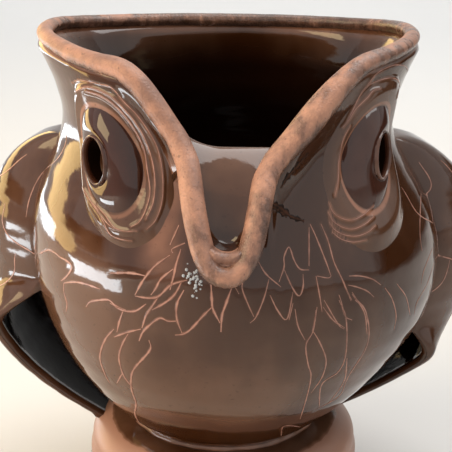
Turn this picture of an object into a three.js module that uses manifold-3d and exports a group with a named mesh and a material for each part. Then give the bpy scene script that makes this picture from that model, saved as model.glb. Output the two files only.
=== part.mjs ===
// A stoneware owl pitcher, built from the pieces a potter throws, rolls and joins.
// Millimetres, +Z up, the face looks along -Y, and the origin is the centre of the flat base.
import * as THREE from 'three';
import { mergeVertices } from 'three/addons/utils/BufferGeometryUtils.js';
import Module from 'manifold-3d';

const wasm = await Module();
wasm.setup();

// The thrown pedestal
const BASE_RADIUS = 50;
const BASE_ROUNDING = 1.5;
const FOOT_SHOULDER_RADIUS = 47.3;
const FOOT_SHOULDER_HEIGHT = 27;
const FLOOR_THICKNESS = 7;
const WAIST_RADIUS = 32;
const WAIST_HEIGHT = 37;
const WAIST_COIL_RADIUS = 1.9;

// The thrown body: belly, neck and oval rim
const BELLY_RADIUS = 68.5;
const BELLY_RISE = 63;
const BELLY_LEAN = 3.5;
const NECK_RADIUS = 54;
const SHOULDER_RISE = 46;
const RIM_RISE = 22;
const RIM_HALF_WIDTH = 61.5;
const RIM_HALF_DEPTH = 50;
const WALL = 5;
const JOINT_GAP = 0.3;

// How the curves between those sizes bend
const SHOULDER_DELAY = 1.3;
const RIM_FLARE = 1.6;
const BACK_SQUARENESS = 2.5;

// The cut-away at the front of the rim. Angles are from the face, the left side negative.
const NOTCH_DEPTH = 20;
const NOTCH_ANGLES = { left: { start: 8, end: 31, lip: 12 }, right: { start: 4, end: 45, lip: 11 } };

// The ears: the rim rises to a soft point above each side
const EAR_RISE = 4;
const EAR_ANGLE = 85;
const EAR_SPREAD_ANGLE = 40;

// The rolled lip, thin at the back and thick round the beak
const ROLL_RADIUS_BACK = 2.4;
const ROLL_RADIUS_FRONT = 3.2;
const ROLL_RADIUS_TIP = 3.8;
const LIP_SEAT_SHARE = 0.8;

// The beak, a drooping trough
const BEAK_OVERHANG = 11.8;
const BEAK_DROP = 32.5;
const BEAK_HALF_WIDTH = 8.2;
const BEAK_ROUNDNESS = 2.7;
const BEAK_BULGE = 0.8;
const BEAK_KEEL_DROP = 43;
const CHANNEL_DEPTH = 4.5;

// The eyes: slanting oval domes, each with a bored pupil and a collar of pressed clay
const COLLAR_SHIFT_LEFT = 2.5;
const COLLAR_SHIFT_RIGHT = 2;
const EYES = [
  { side: 'left', angle: -37.5, slant: 33, collarShift: COLLAR_SHIFT_LEFT },
  { side: 'right', angle: 48, slant: -30, collarShift: -COLLAR_SHIFT_RIGHT },
];
const EYE_DROP = 5;
const DOME_HALF_LENGTH = 17.5;
const DOME_HALF_WIDTH = 10.5;
const DOME_HEIGHT = 6.5;
const PUPIL_RADIUS = 6;
const PUPIL_BURR = 1;
const PUPIL_SHIFT = 3;
const PUPIL_TILT_ANGLE = 19;
const COLLAR_HALF_LENGTH = 26;
const COLLAR_HALF_WIDTH = 16.5;
const COLLAR_HEIGHT = 2.2;
const COLLAR_EDGE = 0.9;
const COLLAR_FLAT_SHARE = 0.55;

// The wings: slabs that stand off the sides as grips, open in front and behind below the pocket
const POCKET_DROP_LEFT = 20;
const POCKET_DROP_RIGHT = 33;
const TIP_DROP_LEFT = 5;
const TIP_DROP_RIGHT = 1;
const WING_TOP_DROP = 9;
const WING_REACH = 22;
const WING_REACH_DROP = 6;
const WING_THICKNESS = 5.5;
const WING_EDGE = 1.3;
const POCKET_BLEND = 19;
const WING_FRONT_ANGLES = { tip: 86, middle: 82, top: 90 };
const WING_SPAN_ANGLES = { tip: 10, middle: 66, top: 16 };
const WING_FULLNESS_SHARE = 0.7;
const WING_SHOULDER_SHARE = 0.6;
const POCKET_FOLD_SHARE = 0.35;

// Derived heights
const BELLY_HEIGHT = WAIST_HEIGHT + BELLY_RISE;
const NECK_HEIGHT = BELLY_HEIGHT + SHOULDER_RISE;
const RIM_HEIGHT = NECK_HEIGHT + RIM_RISE;
const EYE_HEIGHT = NECK_HEIGHT - EYE_DROP;
const WING_TOP_HEIGHT = NECK_HEIGHT - WING_TOP_DROP;
const WING_REACH_HEIGHT = BELLY_HEIGHT - WING_REACH_DROP;

// Each wing's tip lies beside the waist, and its pocket closes part of the way up the belly
const wingSide = (side, sign, pocketDrop, tipDrop) => ({
  side,
  sign,
  pocketHeight: BELLY_HEIGHT - pocketDrop,
  tipHeight: WAIST_HEIGHT - tipDrop,
});
const WINGS = [
  wingSide('left', -1, POCKET_DROP_LEFT, TIP_DROP_LEFT),
  wingSide('right', 1, POCKET_DROP_RIGHT, TIP_DROP_RIGHT),
];

// Numbers of facets
const ROUND_SIDES = 48;
const VESSEL_COLUMNS = 60;
const ROLL_SIDES = 8;
const ROLL_STEPS = 132;
const EYE_SIDES = 24;
const BEAK_ROWS = 12;
const WING_ROWS = 18;
const WING_COLUMNS = 10;

const rad = THREE.MathUtils.degToRad;
const deg = THREE.MathUtils.radToDeg;
const { lerp, clamp, smoothstep } = THREE.MathUtils;
const UP = new THREE.Vector3(0, 0, 1);

// Half-width of the outside of the vessel at a height.
function halfWidth(z) {
  if (z <= FOOT_SHOULDER_HEIGHT) {
    return lerp(BASE_RADIUS, FOOT_SHOULDER_RADIUS, Math.max(z, 0) / FOOT_SHOULDER_HEIGHT);
  }
  if (z <= WAIST_HEIGHT) {
    const share = (z - FOOT_SHOULDER_HEIGHT) / (WAIST_HEIGHT - FOOT_SHOULDER_HEIGHT);
    return lerp(WAIST_RADIUS, FOOT_SHOULDER_RADIUS, Math.sqrt(1 - share ** 2));
  }
  if (z <= BELLY_HEIGHT) {
    return lerp(BELLY_RADIUS, WAIST_RADIUS, ((BELLY_HEIGHT - z) / BELLY_RISE) ** 2);
  }
  if (z <= NECK_HEIGHT) {
    const share = Math.pow((z - BELLY_HEIGHT) / SHOULDER_RISE, SHOULDER_DELAY);
    return lerp(NECK_RADIUS, BELLY_RADIUS, (Math.cos(Math.PI * share) + 1) / 2);
  }
  return lerp(NECK_RADIUS, RIM_HALF_WIDTH, flare(z));
}

// Half-depth of the outside: the vessel is round up to the neck, and the rim is an oval.
function halfDepth(z) {
  return z <= NECK_HEIGHT ? halfWidth(z) : lerp(NECK_RADIUS, RIM_HALF_DEPTH, flare(z));
}

function flare(z) {
  return Math.pow(clamp((z - NECK_HEIGHT) / RIM_RISE, 0, 1), RIM_FLARE);
}

// How far the belly has slumped to the right at a height.
function slump(z) {
  const share = clamp((z - WAIST_HEIGHT) / (NECK_HEIGHT - WAIST_HEIGHT), 0, 1);
  return BELLY_LEAN * Math.sin(Math.PI * share) ** 2;
}

// A point on the outside, at an angle in degrees from the face and a height, moved out by an offset.
function onVessel(angle, z, offset = 0) {
  const across = Math.sin(rad(angle));
  const ahead = Math.cos(rad(angle));
  const squareness = ahead < 0 ? lerp(2, BACK_SQUARENESS, flare(z)) : 2;
  const soften = (part) => Math.sign(part) * Math.pow(Math.abs(part), 2 / squareness);
  const x = slump(z) + (halfWidth(z) + offset) * soften(across);
  const y = -(halfDepth(z) + offset) * soften(ahead);
  return new THREE.Vector3(x, y, z);
}

// The angle from the face of a point near the front of the vessel.
function angleOf(point) {
  return deg(Math.atan2((point.x - slump(point.z)) / halfWidth(point.z), -point.y / halfDepth(point.z)));
}

// The outward normal there, from two short steps on the surface.
function vesselNormal(angle, z) {
  const step = WALL / 10;
  const around = onVessel(angle + 1, z).sub(onVessel(angle - 1, z));
  const rise = onVessel(angle, z + step).sub(onVessel(angle, z - step));
  return around.cross(rise).normalize();
}

function offVessel(angle, z, height) {
  return onVessel(angle, z).addScaledVector(vesselNormal(angle, z), height);
}

// Height of the middle of the rolled lip, which dips to the notch at the face.
function lipHeight(angle) {
  const { start, end } = angle < 0 ? NOTCH_ANGLES.left : NOTCH_ANGLES.right;
  const cut = NOTCH_DEPTH * (1 - smoothstep(Math.abs(angle), start, end));
  const ear = EAR_RISE * Math.exp(-(((Math.abs(angle) - EAR_ANGLE) / EAR_SPREAD_ANGLE) ** 2));
  return RIM_HEIGHT + ear - cut;
}

// A solid from vertices and triangles.
function solidFrom(vertices, triangles) {
  const geometry = new THREE.BufferGeometry().setFromPoints(vertices);
  geometry.setIndex(triangles);
  return solidOf(geometry);
}

// A solid from a geometry, turned outside out if its faces point inwards.
function solidOf(geometry) {
  const bare = new THREE.BufferGeometry();
  bare.setAttribute('position', geometry.getAttribute('position'));
  bare.setIndex(geometry.index);
  const merged = mergeVertices(bare);
  const triVerts = new Uint32Array(merged.index.array);
  const vertProperties = new Float32Array(merged.getAttribute('position').array);
  const build = () => new wasm.Manifold(new wasm.Mesh({ numProp: 3, vertProperties, triVerts }));
  const made = build();
  if (made.volume() >= 0) return made;
  for (let i = 0; i < triVerts.length; i += 3) {
    [triVerts[i + 1], triVerts[i + 2]] = [triVerts[i + 2], triVerts[i + 1]];
  }
  return build();
}

function geometryOf(solid) {
  const { vertProperties, numProp, triVerts } = solid.getMesh();
  const positions = [];
  for (let i = 0; i < vertProperties.length; i += numProp) {
    positions.push(vertProperties[i], vertProperties[i + 1], vertProperties[i + 2]);
  }
  const geometry = new THREE.BufferGeometry();
  geometry.setAttribute('position', new THREE.Float32BufferAttribute(positions, 3));
  geometry.setIndex([...triVerts]);
  geometry.computeVertexNormals();
  return geometry;
}

// Triangles between neighbouring rings of equal count; a looped list joins the last ring to the first.
function ringWalls(rings, sides, looped) {
  const triangles = [];
  const spans = looped ? rings : rings - 1;
  for (let j = 0; j < spans; j += 1) {
    const above = ((j + 1) % rings) * sides;
    for (let i = 0; i < sides; i += 1) {
      const next = (i + 1) % sides;
      const [a, b, c, d] = [j * sides + i, j * sides + next, above + i, above + next];
      triangles.push(a, b, d, a, d, c);
    }
  }
  return triangles;
}

// A ring-shaped solid, from rings that follow one another round a loop.
function ringLoop(rings) {
  return solidFrom(rings.flat(), ringWalls(rings.length, rings[0].length, true));
}

// A solid through the rings, closed by a fan at each end.
function rod(rings) {
  const sides = rings[0].length;
  const vertices = rings.flat();
  const triangles = ringWalls(rings.length, sides, false);
  const centreOf = (ring) => ring.reduce((sum, p) => sum.add(p), new THREE.Vector3()).divideScalar(sides);
  const first = vertices.push(centreOf(rings[0])) - 1;
  const last = vertices.push(centreOf(rings.at(-1))) - 1;
  const top = (rings.length - 1) * sides;
  for (let i = 0; i < sides; i += 1) {
    const next = (i + 1) % sides;
    triangles.push(first, next, i, last, top + i, top + next);
  }
  return solidFrom(vertices, triangles);
}

// A slab between two grids of points, rows of columns, stitched round its four edges.
function slab(outer, inner) {
  const rows = outer.length;
  const columns = outer[0].length;
  const shift = rows * columns;
  const triangles = [];
  const quad = (a, b, c, d) => triangles.push(a, b, c, a, c, d);
  for (let j = 0; j < rows - 1; j += 1) {
    for (let i = 0; i < columns - 1; i += 1) {
      const a = j * columns + i;
      quad(a, a + 1, a + columns + 1, a + columns);
      quad(shift + a, shift + a + columns, shift + a + columns + 1, shift + a + 1);
    }
  }
  const border = slabBorder(rows, columns);
  border.forEach((a, k) => {
    const b = border[(k + 1) % border.length];
    quad(b, a, shift + a, shift + b);
  });
  return solidFrom([...outer.flat(), ...inner.flat()], triangles);
}

// The indices round the edge of a grid, in order.
function slabBorder(rows, columns) {
  const count = (length) => Array.from({ length }, (_, k) => k);
  return [
    ...count(columns),
    ...count(rows - 1).map((j) => (j + 2) * columns - 1),
    ...count(columns - 1).map((i) => rows * columns - 2 - i),
    ...count(rows - 2).map((j) => (rows - 2 - j) * columns),
  ];
}

// A round solid from a profile of radius and height pairs.
function turned(profile) {
  const points = profile.map(([r, z]) => new THREE.Vector2(r, z));
  const lathe = new THREE.LatheGeometry(points, ROUND_SIDES);
  lathe.rotateX(Math.PI / 2);
  return solidOf(lathe);
}

// Evenly spaced values, both ends included.
function steps(count, from, to) {
  return Array.from({ length: count + 1 }, (_, k) => lerp(from, to, k / count));
}

// Angles round the vessel, closer together at the face.
function vesselAngles() {
  const crowding = 25;
  return steps(VESSEL_COLUMNS, -180, 180)
    .slice(0, -1)
    .map((turn) => turn - crowding * Math.sin(rad(turn)));
}

// Heights up the pedestal's shoulder, closer together near the waist.
function shoulderHeights(top) {
  return steps(5, 0, 1).map((share) => lerp(FOOT_SHOULDER_HEIGHT, top, Math.sin((share * Math.PI) / 2)));
}

// A ring round the outside of the vessel. The height is a function of the angle.
function vesselRing(heightAt, offset) {
  return vesselAngles().map((angle) => onVessel(angle, heightAt(angle), offset));
}

// Top of the wall, where the lip sits on it.
function wallTop(angle) {
  return lipHeight(angle) - LIP_SEAT_SHARE * ROLL_RADIUS_BACK;
}

// Rings up the body, from the waist to the top of its wall.
function bodyRings(offset) {
  const belly = steps(8, WAIST_HEIGHT, BELLY_HEIGHT).map((z) => vesselRing(() => z, offset));
  const neck = steps(13, 0, 1)
    .slice(1)
    .map((share) => vesselRing((angle) => lerp(BELLY_HEIGHT, wallTop(angle), share), offset));
  return [...belly, ...neck];
}

// The outside of the whole vessel as one filled solid, grown by an offset, to trim what sits on it.
function vesselCore(offset) {
  const pedestal = [0, ...shoulderHeights(WAIST_HEIGHT).slice(0, -1)];
  return rod([
    ...pedestal.map((z) => vesselRing(() => z, offset)),
    ...bodyRings(offset),
    vesselRing((angle) => lipHeight(angle) + ROLL_RADIUS_TIP, offset),
  ]);
}

function foot() {
  const top = WAIST_HEIGHT - JOINT_GAP;
  const shoulder = shoulderHeights(top);
  const outer = [...steps(2, BASE_ROUNDING, FOOT_SHOULDER_HEIGHT).slice(0, -1), ...shoulder];
  const inner = [...shoulder.toReversed(), FLOOR_THICKNESS];
  return turned([
    [0, 0],
    [BASE_RADIUS - BASE_ROUNDING, 0],
    ...outer.map((z) => [halfWidth(z), z]),
    ...inner.map((z) => [halfWidth(z) - WALL, z]),
    [0, FLOOR_THICKNESS],
  ]);
}

// The coil of clay that seals the waist, flattened against the pedestal and the belly.
function waistCoil() {
  const section = steps(8, 0, 360).map((turn) => [
    WAIST_RADIUS + WAIST_COIL_RADIUS * (1 + Math.cos(rad(turn))) / 2,
    WAIST_HEIGHT + WAIST_COIL_RADIUS * Math.sin(rad(turn)),
  ]);
  return turned(section).subtract(vesselCore(JOINT_GAP)).subtract(foot());
}

function body() {
  return ringLoop([...bodyRings(0), ...bodyRings(-WALL).toReversed()]).subtract(lipRoll(JOINT_GAP));
}

// A point of the lip's centre line on the rim, in the middle of the wall.
function rimPoint(angle) {
  return onVessel(angle, lipHeight(angle), -WALL / 2);
}

// How far forward the beak's tip lies: it overhangs the breast at its own height.
function beakTipDepth(root) {
  return -halfDepth(root.z - BEAK_DROP) - BEAK_OVERHANG;
}

// Points of the lip's centre line round the beak, from its left root by the tip to its right root.
function beakPoints(count) {
  const left = rimPoint(-NOTCH_ANGLES.left.lip);
  const right = rimPoint(NOTCH_ANGLES.right.lip);
  return steps(count, -90, 90).map((turn) => {
    const share = Math.pow(Math.cos(rad(turn)), 2 / BEAK_ROUNDNESS);
    const side = Math.sign(turn) * Math.pow(Math.abs(Math.sin(rad(turn))), 2 / BEAK_ROUNDNESS);
    const root = turn < 0 ? left : right;
    const x = side * lerp(Math.abs(root.x), BEAK_HALF_WIDTH, share);
    const y = lerp(root.y, beakTipDepth(root), Math.pow(share, BEAK_BULGE));
    return new THREE.Vector3(x, y, root.z - BEAK_DROP * Math.pow(share, 1 / BEAK_BULGE));
  });
}

// The closed centre line of the lip: down one side of the beak, up the other and round the rim.
function lipPath() {
  const right = vesselAngles().filter((angle) => angle > NOTCH_ANGLES.right.lip);
  const left = vesselAngles().filter((angle) => angle < -NOTCH_ANGLES.left.lip);
  const points = [...beakPoints(20).slice(1, -1), ...right.map(rimPoint), ...left.map(rimPoint)];
  return new THREE.CatmullRomCurve3(points, true).getSpacedPoints(ROLL_STEPS).slice(0, -1);
}

// The lip thickens from the back of the rim to the face, and again to the tip of the beak.
function rollRadius(point) {
  const rim = lerp(ROLL_RADIUS_BACK, ROLL_RADIUS_FRONT, smoothstep(-point.y, 0, RIM_HALF_DEPTH));
  const tip = smoothstep(-point.y, RIM_HALF_DEPTH, -beakTipDepth(rimPoint(0)));
  return lerp(rim, ROLL_RADIUS_TIP, tip);
}

function lipRoll(growth) {
  const path = lipPath();
  const rings = path.map((point, k) => {
    const along = path[(k + 1) % path.length].clone().sub(path.at(k - 1)).normalize();
    const across = along.clone().cross(UP).normalize();
    const over = across.clone().cross(along);
    const radius = rollRadius(point) + growth;
    return steps(ROLL_SIDES, 0, 360)
      .slice(0, -1)
      .map((turn) =>
        point
          .clone()
          .addScaledVector(across, Math.cos(rad(turn)) * radius)
          .addScaledVector(over, Math.sin(rad(turn)) * radius),
      );
  });
  return ringLoop(rings);
}

// The body of the beak: its channel on top, and a keel that runs back into the breast.
function beak() {
  const lip = beakPoints(2 * BEAK_ROWS);
  const tip = lip[BEAK_ROWS];
  const root = rimPoint(0);
  const channel = [];
  const keel = [];
  for (let k = 0; k < BEAK_ROWS; k += 1) {
    const [left, right] = [lip[k], lip[2 * BEAK_ROWS - k]];
    const share = k / BEAK_ROWS;
    const keelY = lerp(root.y, tip.y, share);
    const keelZ = lerp(root.z - BEAK_KEEL_DROP, tip.z - ROLL_RADIUS_TIP, share);
    const sag = CHANNEL_DEPTH * Math.sqrt(1 - share ** 4) * Math.SQRT1_2;
    const sides = steps(8, -1, 1);
    channel.push(
      sides.map((side) => {
        const point = left.clone().lerp(right, (side + 1) / 2);
        const dip = sag * (1 - side ** 2);
        return point.add(new THREE.Vector3(0, dip, -dip));
      }),
    );
    keel.push(
      sides.map((side) => {
        const point = left.clone().lerp(right, (side + 1) / 2);
        point.z -= ROLL_RADIUS_FRONT;
        return point.lerp(new THREE.Vector3(point.x, keelY, keelZ), 1 - Math.abs(side) ** 3);
      }),
    );
  }
  return slab(channel, keel).subtract(vesselCore(JOINT_GAP)).subtract(lipRoll(JOINT_GAP));
}

// A point beside an eye's middle, along its slanting short and long axes, at a height off the clay.
function besideEye(eye, wide, long, height) {
  const normal = vesselNormal(eye.angle, EYE_HEIGHT);
  const level = UP.clone().cross(normal).normalize();
  const rise = normal.clone().cross(level);
  const slant = rad(eye.slant);
  const flat = onVessel(eye.angle, EYE_HEIGHT)
    .addScaledVector(level, wide * Math.cos(slant) - long * Math.sin(slant))
    .addScaledVector(rise, long * Math.cos(slant) + wide * Math.sin(slant));
  return offVessel(angleOf(flat), flat.z, height);
}

// An oval ring round an eye. The height may be a function of how far towards the beak a point lies.
function eyeRing(eye, halfWide, halfLong, height, shift = 0) {
  const beakSide = -Math.sign(eye.angle);
  return steps(EYE_SIDES, 0, 360)
    .slice(0, -1)
    .map((turn) => {
      const wide = halfWide * Math.cos(rad(turn)) + shift * beakSide;
      const tall = typeof height === 'function' ? height(wide * beakSide) : height;
      return besideEye(eye, wide, halfLong * Math.sin(rad(turn)), tall);
    });
}

// Height of the pupil's tilted rim above the clay.
function pupilHeight(towardsBeak) {
  return DOME_HEIGHT + (towardsBeak + PUPIL_SHIFT) * Math.tan(rad(PUPIL_TILT_ANGLE));
}

function eyeDome(eye) {
  const burr = PUPIL_RADIUS + PUPIL_BURR;
  const flank = steps(5, 0, 1).map((share) => {
    const swell = Math.sin((share * Math.PI) / 2);
    const height = (towardsBeak) => lerp(COLLAR_HEIGHT, pupilHeight(towardsBeak) - PUPIL_BURR, swell);
    const wide = lerp(DOME_HALF_WIDTH, burr, share);
    return eyeRing(eye, wide, lerp(DOME_HALF_LENGTH, burr, share), height, -PUPIL_SHIFT * share);
  });
  const pupil = (radius, height) => eyeRing(eye, radius, radius, height, -PUPIL_SHIFT);
  return ringLoop([
    eyeRing(eye, DOME_HALF_WIDTH, DOME_HALF_LENGTH, -WALL / 2),
    ...flank,
    pupil(lerp(PUPIL_RADIUS, burr, 0.5), pupilHeight),
    pupil(PUPIL_RADIUS, (towardsBeak) => pupilHeight(towardsBeak) - PUPIL_BURR),
    pupil(PUPIL_RADIUS, -WALL / 2),
  ]).subtract(vesselCore(JOINT_GAP));
}

function eyeCollar(eye) {
  const innerWide = DOME_HALF_WIDTH + JOINT_GAP;
  const innerLong = DOME_HALF_LENGTH + JOINT_GAP;
  const ring = (share, height) =>
    eyeRing(
      eye,
      lerp(innerWide, COLLAR_HALF_WIDTH, share),
      lerp(innerLong, COLLAR_HALF_LENGTH, share),
      height,
      eye.collarShift * share,
    );
  return ringLoop([
    ring(0, -WALL / 2),
    ring(0, COLLAR_HEIGHT),
    ring(COLLAR_FLAT_SHARE, COLLAR_HEIGHT),
    ring(1, COLLAR_EDGE),
    ring(1, -WALL / 2),
  ])
    .subtract(vesselCore(JOINT_GAP))
    .subtract(lipRoll(JOINT_GAP));
}

// A value that goes from the wing's tip through its middle to its top.
function alongWing(values, share) {
  const end = share < 0.5 ? values.tip : values.top;
  return lerp(end, values.middle, Math.pow(Math.sin(share * Math.PI), WING_FULLNESS_SHARE));
}

// How far the wing's crest stands off the vessel at a height.
function wingStand(z, tipHeight) {
  const reach = BELLY_RADIUS + WING_REACH;
  const above = (z - WING_REACH_HEIGHT) / (WING_TOP_HEIGHT - WING_REACH_HEIGHT);
  const below = (WING_REACH_HEIGHT - z) / (WING_REACH_HEIGHT - tipHeight);
  const crest =
    z > WING_REACH_HEIGHT
      ? lerp(halfWidth(WING_TOP_HEIGHT), reach, Math.pow(Math.max(1 - above ** 2, 0), WING_SHOULDER_SHARE))
      : lerp(halfWidth(tipHeight), reach, Math.max(1 - below ** 2, 0));
  return Math.max(crest - halfWidth(z), 0);
}

function wing({ sign, pocketHeight, tipHeight }) {
  const outer = [];
  const inner = [];
  for (const share of steps(WING_ROWS, 0, 1)) {
    const z = lerp(tipHeight, WING_TOP_HEIGHT, share);
    const front = alongWing(WING_FRONT_ANGLES, share);
    const span = alongWing(WING_SPAN_ANGLES, share);
    const held = smoothstep(z, pocketHeight - POCKET_BLEND / 2, pocketHeight + POCKET_BLEND / 2);
    const columns = steps(WING_COLUMNS, 0, 1).map((across) => {
      const toEdge = Math.min(across, 1 - across);
      const fold = 1 - held * Math.pow(1 - Math.min(toEdge / POCKET_FOLD_SHARE, 1), 2);
      const top = Math.max(wingStand(z, tipHeight) * fold, WING_EDGE) + JOINT_GAP;
      return { angle: sign * (front + span * across), top, under: Math.max(top - WING_THICKNESS, JOINT_GAP) };
    });
    outer.push(columns.map(({ angle, top }) => onVessel(angle, z, top)));
    inner.push(columns.map(({ angle, under }) => onVessel(angle, z, under)));
  }
  return slab(outer, inner).subtract(vesselCore(JOINT_GAP));
}

// The clay and its glazes
const glazed = new THREE.MeshStandardMaterial({ color: 0x3a1c10, roughness: 0.1, metalness: 0 });
const bareClay = new THREE.MeshStandardMaterial({ color: 0xb27a58, roughness: 0.5, metalness: 0 });
const eyeGlaze = new THREE.MeshStandardMaterial({ color: 0x32160c, roughness: 0.06, metalness: 0 });

const pitcher = new THREE.Group();

function place(name, solid, material) {
  const mesh = new THREE.Mesh(geometryOf(solid), material);
  mesh.name = name;
  pitcher.add(mesh);
}

place('foot', foot(), glazed);
place('waist_coil', waistCoil(), glazed);
place('body', body(), glazed);
place('lip_roll', lipRoll(0), bareClay);
place('beak', beak(), glazed);
for (const eye of EYES) {
  place(`eye_collar_${eye.side}`, eyeCollar(eye), glazed);
  place(`eye_dome_${eye.side}`, eyeDome(eye), eyeGlaze);
}
for (const side of WINGS) {
  place(`wing_${side.side}`, wing(side), glazed);
}

export default pitcher;
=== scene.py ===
"""A stoneware owl pitcher: thrown, rolled and pressed clay under a dark brown gloss glaze.

Shapes are worked out in millimetres and in degrees from the face, the left side negative. Meshes are in metres.
"""

import logging
import math
from dataclasses import dataclass, field
from enum import Enum
from typing import Callable, Optional, Sequence

import bmesh
import bpy
import numpy as np
from mathutils import Matrix, Vector
from mathutils.bvhtree import BVHTree
from mathutils.kdtree import KDTree


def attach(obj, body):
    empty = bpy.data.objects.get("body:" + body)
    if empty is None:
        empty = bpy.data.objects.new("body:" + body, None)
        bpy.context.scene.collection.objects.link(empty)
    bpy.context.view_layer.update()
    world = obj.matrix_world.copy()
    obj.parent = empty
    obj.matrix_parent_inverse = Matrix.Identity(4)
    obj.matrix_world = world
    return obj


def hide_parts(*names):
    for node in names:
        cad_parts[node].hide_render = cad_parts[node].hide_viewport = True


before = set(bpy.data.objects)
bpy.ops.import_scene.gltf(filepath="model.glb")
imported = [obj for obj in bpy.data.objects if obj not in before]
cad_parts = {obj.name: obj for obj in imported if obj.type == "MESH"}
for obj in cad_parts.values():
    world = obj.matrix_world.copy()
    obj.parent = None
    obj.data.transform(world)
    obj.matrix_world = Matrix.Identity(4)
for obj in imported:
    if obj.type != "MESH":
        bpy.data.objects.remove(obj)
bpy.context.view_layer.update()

MM = 0.001
BODY = "root"
AIM = Vector((0, 0, 0.1))

Values = float | np.ndarray
Levels = Values | Callable[[np.ndarray], np.ndarray]
Span = tuple[float, float]
Colour = tuple[float, float, float, float]
Pixels = Sequence[Sequence[float]]
Input = float | bpy.types.NodeSocket

logging.basicConfig(level=logging.INFO, format="%(message)s")
log = logging.getLogger("owl_pitcher")


class Slot(Enum):
    """The record's material slots."""

    GLAZE = "glaze"
    LIP = "lip_clay"
    EYE = "eye_glaze"


class Side(Enum):
    """A side of the pitcher as the face is looked at."""

    LEFT = -1
    RIGHT = 1

    @property
    def label(self) -> str:
        """Left or right, for names."""
        return self.name.lower()


# Small sums


def lerp(start: Values, end: Values, share: Values) -> Values:
    """Value that lies a share of the way from start to end."""
    return start + (end - start) * share


def smoothstep(value: Values, low: float, high: float) -> np.ndarray:
    """Rises smoothly from 0 at low to 1 at high.

    Args:
        value: Number or array to look up.
        low: Where the rise starts.
        high: Where the rise ends.

    Returns:
        Array of shares.
    """
    share = np.clip((np.asarray(value, float) - low) / (high - low), 0, 1)
    return share * share * (3 - 2 * share)


def hump(value: Values, middle: float, spread: float) -> np.ndarray:
    """Soft hump that is 1 at the middle and fades over the spread."""
    return np.exp(-(((value - middle) / spread) ** 2))


def unit(vectors: np.ndarray) -> np.ndarray:
    """Vectors of the last axis at length 1."""
    return vectors / np.maximum(np.linalg.norm(vectors, axis=-1, keepdims=True), 1e-9)


def lumps(points: np.ndarray, size: float, seed: float) -> np.ndarray:
    """Soft uneven swell, as fingers leave in clay.

    Args:
        points: Places in millimetres.
        size: Rough width of one lump in millimetres.
        seed: Number that shifts the pattern.

    Returns:
        Values from about -1 to 1, one for each point.
    """
    x, y, z = (points[..., k] / size for k in range(3))
    wave = np.sin(2.1 * x + 1.7 * z + seed) * np.cos(1.9 * y - 1.3 * z + 2 * seed)
    return 0.6 * wave + 0.4 * np.sin(3.7 * z + 2.9 * x - 2.3 * y + 3 * seed)


def lengths(path: np.ndarray) -> np.ndarray:
    """Distance from a path's start to each of its points."""
    return np.concatenate([[0], np.cumsum(np.linalg.norm(np.diff(path, axis=0), axis=1))])


def spaced(points: np.ndarray, step: float, closed: bool = False) -> np.ndarray:
    """A path through the points, evenly spaced.

    Args:
        points: Places along the path, one to a row.
        step: Distance between new points.
        closed: True where the last point joins the first.

    Returns:
        New places along the path.
    """
    path = np.vstack([points, points[:1]]) if closed else points
    run = lengths(path)
    count = max(int(round(run[-1] / step)), 3)
    places = np.linspace(0, run[-1], count + 1)[: count if closed else count + 1]
    return np.stack([np.interp(places, run, path[:, k]) for k in range(path.shape[1])], axis=1)


def rounded(points: Pixels, per_span: int = 8) -> np.ndarray:
    """A smooth curve through a few points.

    Args:
        points: Places that the curve passes through.
        per_span: Number of steps between two of them.

    Returns:
        Places along the curve.
    """
    p = np.asarray(points, float)
    if len(p) < 3:
        return spaced(p, np.linalg.norm(p[-1] - p[0]) / per_span)
    p = np.vstack([2 * p[0] - p[1], p, 2 * p[-1] - p[-2]])
    share = np.linspace(0, 1, per_span, endpoint=False)[:, None]
    spans = []
    for a, b, c, d in zip(p[:-3], p[1:-2], p[2:-1], p[3:]):
        cubic = 2 * b + (c - a) * share + (2 * a - 5 * b + 4 * c - d) * share**2
        spans.append(0.5 * (cubic + (3 * b - a - 3 * c + d) * share**3))
    return np.vstack(spans + [p[-2:-1]])


def nearest(points: np.ndarray, places: np.ndarray) -> tuple[np.ndarray, np.ndarray]:
    """Which place lies nearest to each point.

    Args:
        points: Points to measure, in millimetres.
        places: Places to measure to.

    Returns:
        The place's number and its distance, one of each for each point.
    """
    tree = KDTree(len(places))
    for number, place in enumerate(places):
        tree.insert(place, number)
    tree.balance()
    found = [tree.find(point)[1:] for point in points]
    return np.array([number for number, _ in found]), np.array([far for _, far in found])


# Meshes


def grid_faces(rows: int, columns: int, wrap_rows: bool = False, wrap_columns: bool = False) -> list:
    """Four-sided faces between neighbouring rows and columns of points.

    Args:
        rows: Number of rows.
        columns: Number of points in a row.
        wrap_rows: True where the last row joins the first.
        wrap_columns: True where each row is a ring.

    Returns:
        Corner indices of each face.
    """
    j = np.arange(rows if wrap_rows else rows - 1)[:, None]
    i = np.arange(columns if wrap_columns else columns - 1)[None, :]
    up, on = (j + 1) % rows, (i + 1) % columns
    corners = [j * columns + i, j * columns + on, up * columns + on, up * columns + i]
    return np.stack([np.broadcast_to(c, (j.shape[0], i.shape[1])).ravel() for c in corners], axis=1).tolist()


def capped_faces(rows: int, columns: int) -> list:
    """Faces of a stack of rings that is closed by a flat face at each end."""
    ends = [list(range(columns)), list(range((rows - 1) * columns, rows * columns))[::-1]]
    return grid_faces(rows, columns, False, True) + ends


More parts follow.
